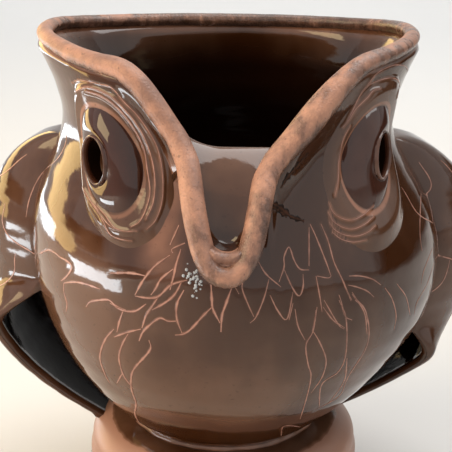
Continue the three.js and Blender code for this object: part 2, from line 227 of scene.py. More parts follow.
def closed_rings(points: np.ndarray) -> tuple[np.ndarray, list]:
    """Closes a stack of rings with a point in the middle of each end.

    Args:
        points: Places, a ring to a row.

    Returns:
        The corners, with the last ring's and the first ring's middle at the end, and the faces.
    """
    count, columns = points.shape[:2]
    corners = np.vstack([points.reshape(-1, 3), points[-1].mean(axis=0), points[0].mean(axis=0)])
    faces, last = grid_faces(count, columns, False, True), (count - 1) * columns
    for i in range(columns):
        on = (i + 1) % columns
        faces += [[len(corners) - 1, on, i], [len(corners) - 2, last + i, last + on]]
    return corners, faces


def slab_marks(top: Values, under: Values, like: np.ndarray) -> np.ndarray:
    """Values for the top of a slab and, run backwards, for its underside."""
    return np.concatenate([top + 0 * like, (under + 0 * like)[:, ::-1]], axis=1)


def placed(name: str, data: bpy.types.ID) -> bpy.types.Object:
    """A new object in the scene.

    Args:
        name: Name of the object.
        data: Its mesh, light or camera.

    Returns:
        The object.
    """
    item = bpy.data.objects.new(name, data)
    bpy.context.scene.collection.objects.link(item)
    return item


def smooth(mesh: bpy.types.Mesh) -> None:
    """Shades all faces of a mesh smooth."""
    mesh.polygons.foreach_set("use_smooth", np.ones(len(mesh.polygons), bool))


def new_piece(name: str, points: np.ndarray, faces: list, marks: dict) -> bpy.types.Object:
    """A closed piece of clay with its faces turned outwards.

    Args:
        name: Name of the piece.
        points: Corner places in millimetres.
        faces: Corner indices of each face.
        marks: Values for each corner, under the names that the finishes read.

    Returns:
        The piece, linked to the scene.
    """
    mesh = bpy.data.meshes.new(name)
    mesh.from_pydata((points.reshape(-1, 3) * MM).tolist(), [], faces)
    turn_outwards(mesh)
    smooth(mesh)
    for key, values in marks.items():
        mark(mesh, key, values)
    return placed(name, mesh)


def turn_outwards(mesh: bpy.types.Mesh) -> None:
    """Flips a closed mesh that is inside out.

    Args:
        mesh: The closed mesh.
    """
    mesh.calc_loop_triangles()
    corners = np.zeros(len(mesh.vertices) * 3)
    mesh.vertices.foreach_get("co", corners)
    index = np.zeros(len(mesh.loop_triangles) * 3, int)
    mesh.loop_triangles.foreach_get("vertices", index)
    a, b, c = corners.reshape(-1, 3)[index.reshape(-1, 3)].transpose(1, 0, 2)
    if np.einsum("ij,ij->i", a, np.cross(b, c)).sum() < 0:
        mesh.flip_normals()


def mark(mesh: bpy.types.Mesh, key: str, values: np.ndarray) -> None:
    """Stores one number for each corner of a mesh.

    Args:
        mesh: The mesh.
        key: Name that the finishes read.
        values: The numbers.
    """
    layer = mesh.attributes.get(key) or mesh.attributes.new(key, "FLOAT", "POINT")
    layer.data.foreach_set("value", np.asarray(values, np.float32).ravel())


def read_mark(mesh: bpy.types.Mesh, key: str) -> np.ndarray:
    """Numbers stored on a mesh, or zeros where there are none.

    Args:
        mesh: The mesh.
        key: Name that the finishes read.

    Returns:
        One number for each corner.
    """
    values = np.zeros(len(mesh.vertices), np.float32)
    layer = mesh.attributes.get(key)
    if layer is not None:
        layer.data.foreach_get("value", values)
    return values


def corner_places(piece: bpy.types.Object) -> np.ndarray:
    """Corner places of a piece.

    Args:
        piece: The piece.

    Returns:
        Places in millimetres, one to a row.
    """
    flat = np.zeros(len(piece.data.vertices) * 3)
    piece.data.vertices.foreach_get("co", flat)
    return flat.reshape(-1, 3) / MM


def settle(piece: bpy.types.Object, material: bpy.types.Material, slot: Slot, *nodes: str) -> bpy.types.Object:
    """Dresses a piece and fixes it to the model.

    Args:
        piece: The finished piece.
        material: Its material.
        slot: The record's slot that it belongs to; not used.
        nodes: CAD nodes that it stands for.

    Returns:
        The same piece.
    """
    piece.data.materials.clear()
    piece.data.materials.append(material)
    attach(piece, BODY)
    if nodes:
        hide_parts(*nodes)
    log.info("%s: %d corners, %d faces", piece.name, len(piece.data.vertices), len(piece.data.polygons))
    return piece


def second_finish(piece: bpy.types.Object, material: bpy.types.Material, chosen: np.ndarray) -> None:
    """Gives the faces whose corners are all chosen another material.

    Args:
        piece: The piece, already dressed.
        material: Material of the chosen faces.
        chosen: True for each chosen corner.
    """
    piece.data.materials.append(material)
    faces = piece.data.polygons
    index = np.array([int(all(chosen[k] for k in face.vertices)) for face in faces])
    faces.foreach_set("material_index", index)


# The vessel's shape


@dataclass(frozen=True)
class Fold:
    """The lip where a thumb folded it beside the beak.

    It goes out and down by a distance, and each fades from the first to the second angle of its span.
    """

    out: float
    down: float
    out_span: Span
    down_span: Span


@dataclass(frozen=True)
class Patch:
    """A soft patch on the outside, round an angle. It comes in over the heights of rise and ends over those of fall."""

    strength: float
    angle: float
    spread: float
    fall: Span
    rise: Span = (-1.0, 0.0)

    def at(self, angle: np.ndarray, z: np.ndarray) -> np.ndarray:
        """Strength of the patch at an angle and height."""
        level = smoothstep(z, *self.rise) * (1 - smoothstep(z, *self.fall))
        return self.strength * hump(angle, self.angle, self.spread) * level


@dataclass(frozen=True)
class Vessel:
    """Outside of the thrown vessel, in millimetres."""

    base_radius: float = 50.0
    shoulder_radius: float = 47.3
    shoulder_height: float = 27.0
    waist_radius: float = 32.0
    waist_height: float = 37.0
    belly_radius: float = 68.5
    belly_height: float = 100.0
    neck_radius: float = 54.0
    neck_height: float = 146.0
    neck_ease: float = 1.3
    rim_height: float = 168.0
    rim_half_width: float = 61.5
    rim_half_depth: float = 50.0
    rim_flare: float = 1.6
    back_squareness: float = 2.5
    lean: float = 3.5
    wall: float = 5.0
    ear_rise: float = 4.0
    ear_angle: float = 85.0
    ear_spread: float = 40.0
    notch_depth: float = 20.0
    notch_left: Span = (8.0, 31.0)
    notch_right: Span = (4.0, 45.0)
    fold_left: Fold = Fold(3.0, 3.0, (30.0, 62.0), (10.0, 34.0))
    fold_right: Fold = Fold(6.0, 6.6, (8.0, 52.0), (8.0, 42.0))
    face_edge: float = 8.0

    def flare(self, z: np.ndarray) -> np.ndarray:
        """Share of the rim's flare that is reached at a height."""
        return np.clip((z - self.neck_height) / (self.rim_height - self.neck_height), 0, 1) ** self.rim_flare

    def half_width(self, z: Values) -> np.ndarray:
        """Half-width of the outside.

        Args:
            z: Heights.

        Returns:
            One half-width for each height.
        """
        z = np.asarray(z, float)
        stem = lerp(self.base_radius, self.shoulder_radius, np.maximum(z, 0) / self.shoulder_height)
        in_shoulder = np.clip((z - self.shoulder_height) / (self.waist_height - self.shoulder_height), 0, 1)
        shoulder = lerp(self.waist_radius, self.shoulder_radius, np.sqrt(1 - in_shoulder**2))
        below = (self.belly_height - z) / (self.belly_height - self.waist_height)
        belly = lerp(self.belly_radius, self.waist_radius, below**2)
        up = np.clip((z - self.belly_height) / (self.neck_height - self.belly_height), 0, 1) ** self.neck_ease
        neck = lerp(self.neck_radius, self.belly_radius, (np.cos(np.pi * up) + 1) / 2)
        rim = lerp(self.neck_radius, self.rim_half_width, self.flare(z))
        levels = [z <= self.shoulder_height, z <= self.waist_height, z <= self.belly_height, z <= self.neck_height]
        return np.select(levels, [stem, shoulder, belly, neck], rim)

    def half_depth(self, z: Values) -> np.ndarray:
        """Half-depth of the outside.

        Args:
            z: Heights.

        Returns:
            One half-depth for each height.
        """
        z = np.asarray(z, float)
        rim = lerp(self.neck_radius, self.rim_half_depth, self.flare(z))
        return np.where(z <= self.neck_height, self.half_width(z), rim)

    def slump(self, z: np.ndarray) -> np.ndarray:
        """How far the belly has sunk to the right at a height."""
        share = np.clip((z - self.waist_height) / (self.neck_height - self.waist_height), 0, 1)
        return self.lean * np.sin(np.pi * share) ** 2

    def place(self, angle: Values, z: Values, off: Values = 0.0) -> np.ndarray:
        """A point on the outside.

        Args:
            angle: Degrees from the face.
            z: Height.
            off: Distance that the point is moved outwards.

        Returns:
            Places, one for each angle and height.
        """
        angle, z, off = np.broadcast_arrays(*(np.asarray(v, float) for v in (angle, z, off)))
        across, ahead = np.sin(np.radians(angle)), np.cos(np.radians(angle))
        square = np.where(ahead < 0, lerp(2, self.back_squareness, self.flare(z)), 2)
        x = self.slump(z) + (self.half_width(z) + off) * np.sign(across) * np.abs(across) ** (2 / square)
        y = -(self.half_depth(z) + off) * np.sign(ahead) * np.abs(ahead) ** (2 / square)
        return np.stack([x, y, z], axis=-1)

    def normal(self, angle: Values, z: Values) -> np.ndarray:
        """Outward direction of the clay.

        Args:
            angle: Degrees from the face.
            z: Height.

        Returns:
            Directions at length 1, one for each angle and height.
        """
        around = self.place(angle + 1, z) - self.place(angle - 1, z)
        return unit(np.cross(around, self.place(angle, z + 0.5) - self.place(angle, z - 0.5)))

    def raised(self, angle: Values, z: Values, height: Values) -> np.ndarray:
        """A point at a height off the clay, straight out of it."""
        return self.place(angle, z) + self.normal(angle, z) * np.asarray(height, float)[..., None]

    def angle_of(self, point: np.ndarray) -> np.ndarray:
        """Degrees from the face of a point."""
        x, y, z = point[..., 0], point[..., 1], point[..., 2]
        return np.degrees(np.arctan2((x - self.slump(z)) / self.half_width(z), -y / self.half_depth(z)))

    def rightness(self, angle: Values) -> np.ndarray:
        """Share of the right side's shape in the shape at an angle."""
        return smoothstep(angle, -self.face_edge, self.face_edge)

    def lip_height(self, angle: Values) -> np.ndarray:
        """Height of the middle of the rolled lip, which dips to the face and rises at the ears.

        Args:
            angle: Degrees from the face.

        Returns:
            One height for each angle.
        """
        size = np.abs(angle)
        left, right = 1 - smoothstep(size, *self.notch_left), 1 - smoothstep(size, *self.notch_right)
        dips = [fold.down * (1 - smoothstep(size, *fold.down_span)) for fold in (self.fold_left, self.fold_right)]
        sunk = lerp(*dips, self.rightness(angle))
        ear = self.ear_rise * hump(size, self.ear_angle, self.ear_spread)
        return self.rim_height + ear - sunk - self.notch_depth * np.where(np.asarray(angle) < 0, left, right)

    def fold(self, angle: Values) -> np.ndarray:
        """How far a thumb has folded the lip outwards, most of all beside the beak.

        Args:
            angle: Degrees from the face.

        Returns:
            One distance for each angle.
        """
        folds = (self.fold_left, self.fold_right)
        return lerp(*(f.out * (1 - smoothstep(np.abs(angle), *f.out_span)) for f in folds), self.rightness(angle))

    def rim(self, angle: Values) -> np.ndarray:
        """The lip's middle on the rim."""
        return self.place(angle, self.lip_height(angle), self.fold(angle) - self.wall / 2)


@dataclass(frozen=True)
class ViewPoint:
    """Where the pitcher is looked at from, in millimetres, with pixels of a square picture."""

    place: tuple[float, float, float] = (0.0, -374.2, 236.0)
    pitch: float = 19.3
    roll: float = 0.7
    focal: float = 1158.0
    centre: float = 226.0

    def axes(self) -> tuple[np.ndarray, np.ndarray, np.ndarray]:
        """Directions of the view.

        Returns:
            Right, up and forward.
        """
        down, tilt = math.radians(self.pitch), math.radians(self.roll)
        ahead = np.array([0, math.cos(down), -math.sin(down)])
        top = np.array([0, math.sin(down), math.cos(down)])
        side = np.array([1.0, 0, 0])
        right = math.cos(tilt) * side + math.sin(tilt) * top
        return right, math.cos(tilt) * top - math.sin(tilt) * side, ahead

    def ray(self, pixel: Sequence[float]) -> np.ndarray:
        """Direction of the line of sight through a pixel.

        Args:
            pixel: Its place across and down the picture.

        Returns:
            The direction, at length 1.
        """
        right, up, ahead = self.axes()
        x, y = (pixel[0] - self.centre) / self.focal, (pixel[1] - self.centre) / self.focal
        return unit(ahead + right * x - up * y)


VESSEL = Vessel()
VIEW = ViewPoint()


# Finishes


class Nodes:
    """Lays out the nodes of one material or group."""

    def __init__(self, tree: bpy.types.NodeTree) -> None:
        """Starts with an empty tree.

        Args:
            tree: Tree to fill.
        """
        self.tree = tree
        tree.nodes.clear()

    def add(self, kind: str, links: Optional[dict] = None, **settings) -> bpy.types.Node:
        """A new node.

        Args:
            kind: Blender's name of the node type.
            links: Input name or number to a value or to the output that feeds it.
            settings: Properties of the node.

        Returns:
            The node.
        """
        node = self.tree.nodes.new(kind)
        for key, value in settings.items():
            setattr(node, key, value)
        for key, value in (links or {}).items():
            if isinstance(value, bpy.types.NodeSocket):
                self.tree.links.new(value, node.inputs[key])
            else:
                node.inputs[key].default_value = value
        return node

    def sums(self, operation: str, *values: Input) -> bpy.types.NodeSocket:
        """Result of a Math node with the given values or outputs."""
        return self.add("ShaderNodeMath", dict(enumerate(values)), operation=operation).outputs[0]

    def blend(self, share: Input, first: Input | Colour, second: Input | Colour) -> bpy.types.NodeSocket:
        """Two colours mixed by a share."""
        return self.add("ShaderNodeMix", {0: share, 6: first, 7: second}, data_type="RGBA").outputs[2]

    def spread(
        self, value: Input, low: float, high: float, to_low: float = 0.0, to_high: float = 1.0
    ) -> bpy.types.NodeSocket:
        """A value read off a smooth rise between two levels.

        Args:
            value: Output that is read.
            low: Where the rise starts.
            high: Where the rise ends.
            to_low: Result up to the start.
            to_high: Result from the end on.

        Returns:
            The result.
        """
        links = {0: value, 1: low, 2: high, 3: to_low, 4: to_high}
        return self.add("ShaderNodeMapRange", links, interpolation_type="SMOOTHSTEP").outputs[0]

    def attribute(self, key: str) -> bpy.types.NodeSocket:
        """Numbers stored on the mesh."""
        return self.add("ShaderNodeAttribute", attribute_name=key).outputs["Fac"]

    def coords(self) -> bpy.types.NodeSocket:
        """Places in the object's own coordinates."""
        return self.add("ShaderNodeTexCoord").outputs["Object"]

    def noise(
        self, coords: bpy.types.NodeSocket, scale: Input, detail: float, **sizes: float
    ) -> bpy.types.NodeSocket:
        """Values of a noise texture.

        Args:
            coords: Places that are looked up.
            scale: Its scale.
            detail: Its number of finer layers.
            sizes: Its other inputs, by name.

        Returns:
            The values.
        """
        return self.add("ShaderNodeTexNoise", {"Vector": coords, "Scale": scale, "Detail": detail, **sizes}).outputs[0]

    def group(self, tree: bpy.types.NodeTree, coords: bpy.types.NodeSocket, **sizes: float) -> Sequence:
        """Outputs of a shared group.

        Args:
            tree: The group.
            coords: Places that it looks up.
            sizes: Its other inputs, by name.

        Returns:
            The outputs.
        """
        return self.add("ShaderNodeGroup", {"Coords": coords, **sizes}, node_tree=tree).outputs[:]

    def bump(self, strength: float, distance: float, height: bpy.types.NodeSocket) -> bpy.types.NodeSocket:
        """Direction of a surface that a height roughens."""
        return self.add("ShaderNodeBump", {"Strength": strength, "Distance": distance, "Height": height}).outputs[0]

    def surface(self, links: dict) -> None:
        """Ends a material in one surface.

        Args:
            links: The surface's inputs, by name.
        """
        self.add("ShaderNodeOutputMaterial", {0: self.add("ShaderNodeBsdfPrincipled", links).outputs[0]})


def new_material(name: str) -> tuple[bpy.types.Material, Nodes]:
    """An empty material.

    Args:
        name: Name of the material.

    Returns:
        The material, and the layer that lays out its nodes.
    """
    material = bpy.data.materials.new(name)
    material.use_nodes = True
    return material, Nodes(material.node_tree)


def new_group(name: str, sizes: dict[str, float], outputs: Sequence[str]) -> tuple[Nodes, Sequence]:
    """An empty shader group that reads places and sizes.

    Args:
        name: Name of the group.
        sizes: Its number inputs and what they are unless set.
        outputs: Names of its outputs.

    Returns:
        The group's node layer and its inputs.
    """
    nodes = Nodes(bpy.data.node_groups.new(name, "ShaderNodeTree"))
    face = nodes.tree.interface
    face.new_socket("Coords", in_out="INPUT", socket_type="NodeSocketVector")
    for key, value in sizes.items():
        face.new_socket(key, in_out="INPUT", socket_type="NodeSocketFloat").default_value = value
    for key in outputs:
        face.new_socket(key, in_out="OUTPUT", socket_type="NodeSocketFloat")
    return nodes, nodes.add("NodeGroupInput").outputs


def mottle_group() -> bpy.types.NodeTree:
    """Group that puts out soft blotches, streaks that ran down, and fine specks.

    Returns:
        The group, with Coords and the three sizes as inputs.
    """
    sizes = {"Blotch": 30.0, "Streak": 60.0, "Speck": 700.0}
    nodes, given = new_group("glaze_mottle", sizes, ("Blotches", "Streaks", "Specks"))
    blotch = nodes.noise(given[0], given[1], 4.0, Roughness=0.55)
    run = nodes.add("ShaderNodeMapping", {"Vector": given[0], "Scale": (1.0, 1.0, 0.22)}).outputs[0]
    streak = nodes.noise(run, given[2], 3.0)
    speck = nodes.noise(given[0], given[3], 1.0)
    results = [nodes.spread(blotch, 0.36, 0.64), nodes.spread(streak, 0.35, 0.68), nodes.spread(speck, 0.66, 0.78)]
    nodes.add("NodeGroupOutput", dict(enumerate(results)))
    return nodes.tree


def grain_group() -> bpy.types.NodeTree:
    """Group that puts out the height of fired clay's fine grain and slow ripple.

    Returns:
        The group, with Coords, Grain and Ripple sizes and the grain's Share as inputs and Height as output.
    """
    nodes, given = new_group("clay_grain", {"Grain": 1500.0, "Ripple": 140.0, "Share": 0.5}, ("Height",))
    fine = nodes.sums("MULTIPLY", nodes.noise(given[0], given[1], 3.0), given[3])
    slow = nodes.sums("MULTIPLY", nodes.noise(given[0], given[2], 2.0), nodes.sums("SUBTRACT", 1.0, given[3]))
    nodes.add("NodeGroupOutput", {0: nodes.sums("ADD", fine, slow)})
    return nodes.tree


def colour(red: float, green: float, blue: float) -> Colour:
    """A full colour from its three parts."""
    return (red, green, blue, 1.0)


@dataclass(frozen=True)
class Glaze:
    """Dark gloss glaze that thins to rust on edges, with painted light and shade carried by its marks. Colours are
    linear.
    """

    name: str = "dark_glaze"
    deep: Colour = colour(0.042, 0.013, 0.004)
    # pale tone of the mottle, which the pale mark also uses for painted light
    milky_and_lit: Colour = colour(0.112, 0.052, 0.029)
    rust: Colour = colour(0.34, 0.155, 0.095)
    bare: Colour = colour(0.33, 0.168, 0.112)
    # painted shade: near black for hollows, bores and hidden sides
    inside: Colour = colour(0.006, 0.002, 0.001)
    pale_mark_share: float = 0.8
    speck_share: float = 0.45
    blotch: float = 26.0
    grain: float = 900.0
    grain_share: float = 0.12
    roughness: Span = (0.05, 0.12)
    bare_roughness: float = 0.42
    bump: float = 0.10
    bump_distance: float = 0.0012
    ior: float = 1.5

    def build(self, mottle: bpy.types.NodeTree, grain: bpy.types.NodeTree) -> bpy.types.Material:
        """The material.

        Args:
            mottle: Group of blotches, streaks and specks.
            grain: Group of grain and ripple heights.

        Returns:
            The finished material, which reads the marks rust, pale, bare, dull and inside. Pale and rust carry some
            painted light and shade, and inside carries painted shade.
        """
        material, nodes = new_material(self.name)
        coords = nodes.coords()
        blotches, streaks, specks = nodes.group(mottle, coords, Blotch=self.blotch)
        milk_and_light = nodes.sums("MULTIPLY_ADD", streaks, 0.35, nodes.sums("MULTIPLY", blotches, 0.5))
        # the pale mark adds painted light and shade from the body and the beak's channel
        milk_and_light = nodes.sums("MULTIPLY_ADD", milk_and_light, self.pale_mark_share, nodes.attribute("pale"))
        base = nodes.blend(nodes.spread(milk_and_light, 0.0, 1.0), self.deep, self.milky_and_lit)
        # the rust mark is glaze thinning on edges, plus painted light on the left belly
        rust_and_light = nodes.sums("MULTIPLY", nodes.attribute("rust"), nodes.sums("MULTIPLY_ADD", blotches, 0.5, 0.6))
        base = nodes.blend(nodes.spread(rust_and_light, 0.12, 0.95), base, self.rust)
        base = nodes.blend(nodes.sums("MULTIPLY", specks, self.speck_share), base, self.deep)
        rubbed = nodes.sums("MULTIPLY_ADD", streaks, 0.3, nodes.sums("SUBTRACT", nodes.attribute("bare"), 0.15))
        rubbed = nodes.spread(rubbed, 0.3, 0.7)
        base = nodes.blend(rubbed, base, self.bare)
        # painted shade: the inside mark darkens hollows, bores and hidden sides to near black
        base = nodes.blend(nodes.attribute("inside"), base, self.inside)
        height = nodes.group(grain, coords, Grain=self.grain, Share=self.grain_share)[0]
        gloss = nodes.spread(nodes.sums("ADD", blotches, rust_and_light), 0.0, 1.6, *self.roughness)
        gloss = nodes.sums("MAXIMUM", gloss, nodes.sums("MULTIPLY", rubbed, self.bare_roughness))
        gloss = nodes.sums("MAXIMUM", gloss, nodes.attribute("dull"))
        bump = nodes.bump(self.bump, self.bump_distance, height)
        nodes.surface({"Base Color": base, "Roughness": gloss, "Normal": bump, "IOR": self.ior})
        return material


@dataclass(frozen=True)
class BareLip:
    """Thin matt copper-tan slip on the rolled lip. Colours are linear."""

    name: str = "lip_clay"
    warm: Colour = colour(0.45, 0.222, 0.142)
    dull: Colour = colour(0.25, 0.128, 0.090)
    dark: Colour = colour(0.055, 0.026, 0.016)
    blotch: float = 110.0
    streak: float = 420.0
    speck: float = 850.0
    grain: float = 1700.0
    ripple: float = 220.0
    roughness: Span = (0.46, 0.12)
    bump: float = 0.6
    bump_distance: float = 0.0008
    ior: float = 1.5

    def build(self, mottle: bpy.types.NodeTree, grain: bpy.types.NodeTree) -> bpy.types.Material:
        """The material.

        Args:
            mottle: Group of blotches, streaks and specks.
            grain: Group of grain and ripple heights.

        Returns:
            The finished material, which reads the mark shade.
        """
        material, nodes = new_material(self.name)
        coords = nodes.coords()
        spots = nodes.group(mottle, coords, Blotch=self.blotch, Streak=self.streak, Speck=self.speck)
        blotches, streaks, specks = spots
        height = nodes.group(grain, coords, Grain=self.grain, Ripple=self.ripple)[0]
        base = nodes.blend(nodes.sums("MULTIPLY", blotches, 0.9), self.warm, self.dull)
        base = nodes.blend(nodes.sums("MULTIPLY", streaks, 0.2), base, self.warm)
        # the shade mark is glaze on the roll's sides and back, plus painted shade at the tip and the right arm
        shade = nodes.sums("ADD", nodes.attribute("shade"), nodes.sums("MULTIPLY_ADD", streaks, 0.4, -0.2))
        shade = nodes.spread(nodes.sums("ADD", shade, nodes.sums("MULTIPLY_ADD", blotches, 0.5, -0.25)), 0.10, 1.15)
        base = nodes.blend(shade, base, self.dark)
        base = nodes.blend(nodes.sums("MULTIPLY", specks, 0.6), base, self.dark)
        base = nodes.blend(nodes.sums("MULTIPLY", nodes.spread(height, 0.35, 0.75), 0.55), base, self.dull)
        bump = nodes.bump(self.bump, self.bump_distance, height)
        gloss = nodes.spread(shade, 0.0, 1.0, *self.roughness)
        nodes.surface({"Base Color": base, "Roughness": gloss, "Normal": bump, "IOR": self.ior})
        return material


@dataclass(frozen=True)
class CutClay:
    """Incised line: glaze broken thin over its burrs, with pale clay in the cut. Colours are linear."""

    name: str = "cut_clay"
    clay: Colour = colour(0.40, 0.195, 0.140)
    thin: Colour = colour(0.15, 0.062, 0.040)
    roughness: Span = (0.18, 0.42)
    ior: float = 1.5
    blotch: float = 180.0
    streak: float = 420.0
    bump: float = 0.3
    bump_distance: float = 0.0005

    def build(self, mottle: bpy.types.NodeTree, grain: bpy.types.NodeTree) -> bpy.types.Material:
        """The material.

        Args:
            mottle: Group of blotches, streaks and specks.
            grain: Group of grain and ripple heights.

        Returns:
            The finished material, which reads the mark cut.
        """
        material, nodes = new_material(self.name)
        coords = nodes.coords()
        blotches = nodes.group(mottle, coords, Blotch=self.blotch, Streak=self.streak)[0]
        depth = nodes.sums("MULTIPLY", nodes.attribute("cut"), nodes.sums("MULTIPLY_ADD", blotches, 0.5, 0.6))
        base = nodes.blend(nodes.spread(depth, 0.15, 0.8), self.thin, self.clay)
        bump = nodes.bump(self.bump, self.bump_distance, nodes.group(grain, coords)[0])
        gloss = nodes.spread(depth, 0.0, 1.0, *self.roughness)
        nodes.surface({"Base Color": base, "Roughness": gloss, "Normal": bump, "IOR": self.ior})
        return material


@dataclass
class Finishes:
    """The materials of the whole pitcher, made once."""

    glaze: bpy.types.Material = field(init=False)
    eye: bpy.types.Material = field(init=False)
    shade_black: bpy.types.Material = field(init=False)
    lip: bpy.types.Material = field(init=False)
    cut: bpy.types.Material = field(init=False)
    skip: bpy.types.Material = field(init=False)
    froth_glint: bpy.types.Material = field(init=False)

    def __post_init__(self) -> None:
        """Builds the shared groups and then each material."""
        groups = mottle_group(), grain_group()
        brown, pale_brown = colour(0.036, 0.010, 0.005), colour(0.082, 0.034, 0.023)
        eye = Glaze("eye_glaze", brown, pale_brown, roughness=(0.03, 0.07), bump=0.05)
        # painted shade: near-black glaze with weak reflections for the pupil bores and the wings' hidden sides
        shade_black = Glaze("painted_shade_black", colour(0.010, 0.005, 0.003), colour(0.016, 0.009, 0.006), ior=1.12)
        skip = CutClay("glaze_skip", colour(0.060, 0.024, 0.013), colour(0.010, 0.004, 0.002), (0.30, 0.6), 1.2)
        # painted glints: pale blue-white colour for the blisters below the beak
        froth_glint = CutClay("froth_painted_glint", colour(0.46, 0.48, 0.50), colour(0.36, 0.38, 0.41), (0.03, 0.10))
        self.glaze = Glaze().build(*groups)
        self.eye = eye.build(*groups)
        self.shade_black = shade_black.build(*groups)
        self.lip = BareLip().build(*groups)
        self.cut = CutClay().build(*groups)
        self.skip = skip.build(*groups)
        self.froth_glint = froth_glint.build(*groups)


# Swept clay


@dataclass
class Path:
    """A path on the clay: its points, the direction out of the clay and the girth at each."""

    points: np.ndarray
    out: np.ndarray
    girth: np.ndarray


@dataclass
class SweptClay:
    """Geometry Nodes tree that sweeps a round or grooved section along drawn paths."""

    tree: bpy.types.NodeTree = field(init=False)
    sockets: dict = field(init=False, default_factory=dict)

    def __post_init__(self) -> None:
        """Builds the tree: path, section, sweep, then Realize Instances and Set Material."""
        self.tree = bpy.data.node_groups.new("swept_clay", "GeometryNodeTree")
        face = self.tree.interface
        face.new_socket("Geometry", in_out="INPUT", socket_type="NodeSocketGeometry")
        for name, value in (("Half width", 1.0), ("Height", 1.0), ("Depth", 1.0), ("Groove", 0.0)):
            socket = face.new_socket(name, in_out="INPUT", socket_type="NodeSocketFloat")
            socket.default_value = value
            self.sockets[name] = socket.identifier
        for name, kind in (("Sides", "NodeSocketInt"), ("Finish", "NodeSocketMaterial")):
            self.sockets[name] = face.new_socket(name, in_out="INPUT", socket_type=kind).identifier
        face.new_socket("Geometry", in_out="OUTPUT", socket_type="NodeSocketGeometry")
        self._lay_out(Nodes(self.tree))

    @staticmethod
    def _lay_out(nodes: Nodes) -> None:
        """Fills the tree.

        Args:
            nodes: Node layer on the empty tree.
        """
        given = nodes.add("NodeGroupInput").outputs
        out = nodes.add("GeometryNodeInputNamedAttribute", {"Name": "out"}, data_type="FLOAT_VECTOR").outputs[0]
        girth = nodes.add("GeometryNodeInputNamedAttribute", {"Name": "girth"}, data_type="FLOAT").outputs[0]
        curve = nodes.add("GeometryNodeMeshToCurve", {0: given["Geometry"]})
        turned = nodes.add("GeometryNodeSetCurveNormal", {"Curve": curve.outputs[0], "Normal": out}, mode="FREE")
        circle = nodes.add("GeometryNodeCurvePrimitiveCircle", {"Resolution": given["Sides"], "Radius": 1.0})
        place = nodes.add("ShaderNodeSeparateXYZ", {0: nodes.add("GeometryNodeInputPosition").outputs[0]})
        up, side = place.outputs[0], place.outputs[1]
        size = nodes.sums("ABSOLUTE", side)
        burr = nodes.sums("SINE", nodes.sums("MULTIPLY", size, math.pi))
        plain = nodes.sums("MULTIPLY", up, nodes.sums("SUBTRACT", 1.0, given["Groove"]))
        top = nodes.sums("MULTIPLY", nodes.sums("MULTIPLY_ADD", burr, given["Groove"], plain), given["Height"])
        above = nodes.sums("GREATER_THAN", up, -0.01)
        base = nodes.sums("MULTIPLY", up, given["Depth"])
        base = nodes.sums("MULTIPLY", base, nodes.sums("SUBTRACT", 1.0, above))
        level = nodes.sums("MULTIPLY_ADD", top, above, base)
        shape = nodes.add("ShaderNodeCombineXYZ", {0: level, 1: nodes.sums("MULTIPLY", side, given["Half width"])})
        links = {"Geometry": circle.outputs[0], "Name": "cut", "Value": nodes.sums("SUBTRACT", 1.0, size)}
        kept = nodes.add("GeometryNodeStoreNamedAttribute", links)
        moved = nodes.add("GeometryNodeSetPosition", {"Geometry": kept.outputs[0], "Position": shape.outputs[0]})
        links = {"Curve": turned.outputs[0], "Profile Curve": moved.outputs[0], "Scale": girth, "Fill Caps": True}
        swept = nodes.add("GeometryNodeCurveToMesh", links)
        shaded = nodes.add("GeometryNodeSetShadeSmooth", {0: swept.outputs[0]})
        whole = nodes.add("GeometryNodeRealizeInstances", {0: shaded.outputs[0]})
        dressed = nodes.add("GeometryNodeSetMaterial", {"Geometry": whole.outputs[0], "Material": given["Finish"]})
        nodes.add("NodeGroupOutput", {0: dressed.outputs[0]})

    def sweep(
        self, name: str, paths: Sequence[Path], finish: bpy.types.Material, closed: bool = False, **sizes: float
    ) -> bpy.types.Object:
        """One plain mesh swept along all the paths.

        Args:
            name: Name of the piece.
            paths: The paths, with their outward directions and girths.
            finish: Material of the piece.
            closed: True where each path is a loop.
            sizes: Section sizes in millimetres, and the number of sides, by input name.

        Returns:
            The swept piece.
        """
        edges, start = [], 0
        for path in paths:
            count = len(path.points)
            run = np.arange(start, start + count)
            edges += list(zip(run[:-1].tolist(), run[1:].tolist())) + ([(start + count - 1, start)] if closed else [])
            start += count
        line = bpy.data.meshes.new(name + "_path")
        line.from_pydata((np.vstack([p.points for p in paths]) * MM).tolist(), edges, [])
        out = line.attributes.new("out", "FLOAT_VECTOR", "POINT")
        out.data.foreach_set("vector", np.vstack([p.out for p in paths]).astype(np.float32).ravel())
        mark(line, "girth", np.concatenate([p.girth for p in paths]))
        carrier = placed(name + "_path", line)
        modifier = carrier.modifiers.new("sweep", "NODES")
        modifier.node_group = self.tree
        for key, value in sizes.items():
            label = key.replace("_", " ").capitalize()
            modifier[self.sockets[label]] = value if label in ("Sides", "Groove") else value * MM
        modifier[self.sockets["Finish"]] = finish
        carrier.update_tag()
        graph = bpy.context.evaluated_depsgraph_get()
        mesh = bpy.data.meshes.new_from_object(carrier.evaluated_get(graph))
        mesh.name = name
        turn_outwards(mesh)
        bpy.data.objects.remove(carrier)
        bpy.data.meshes.remove(line)
        return placed(name, mesh)


# Sub-assemblies


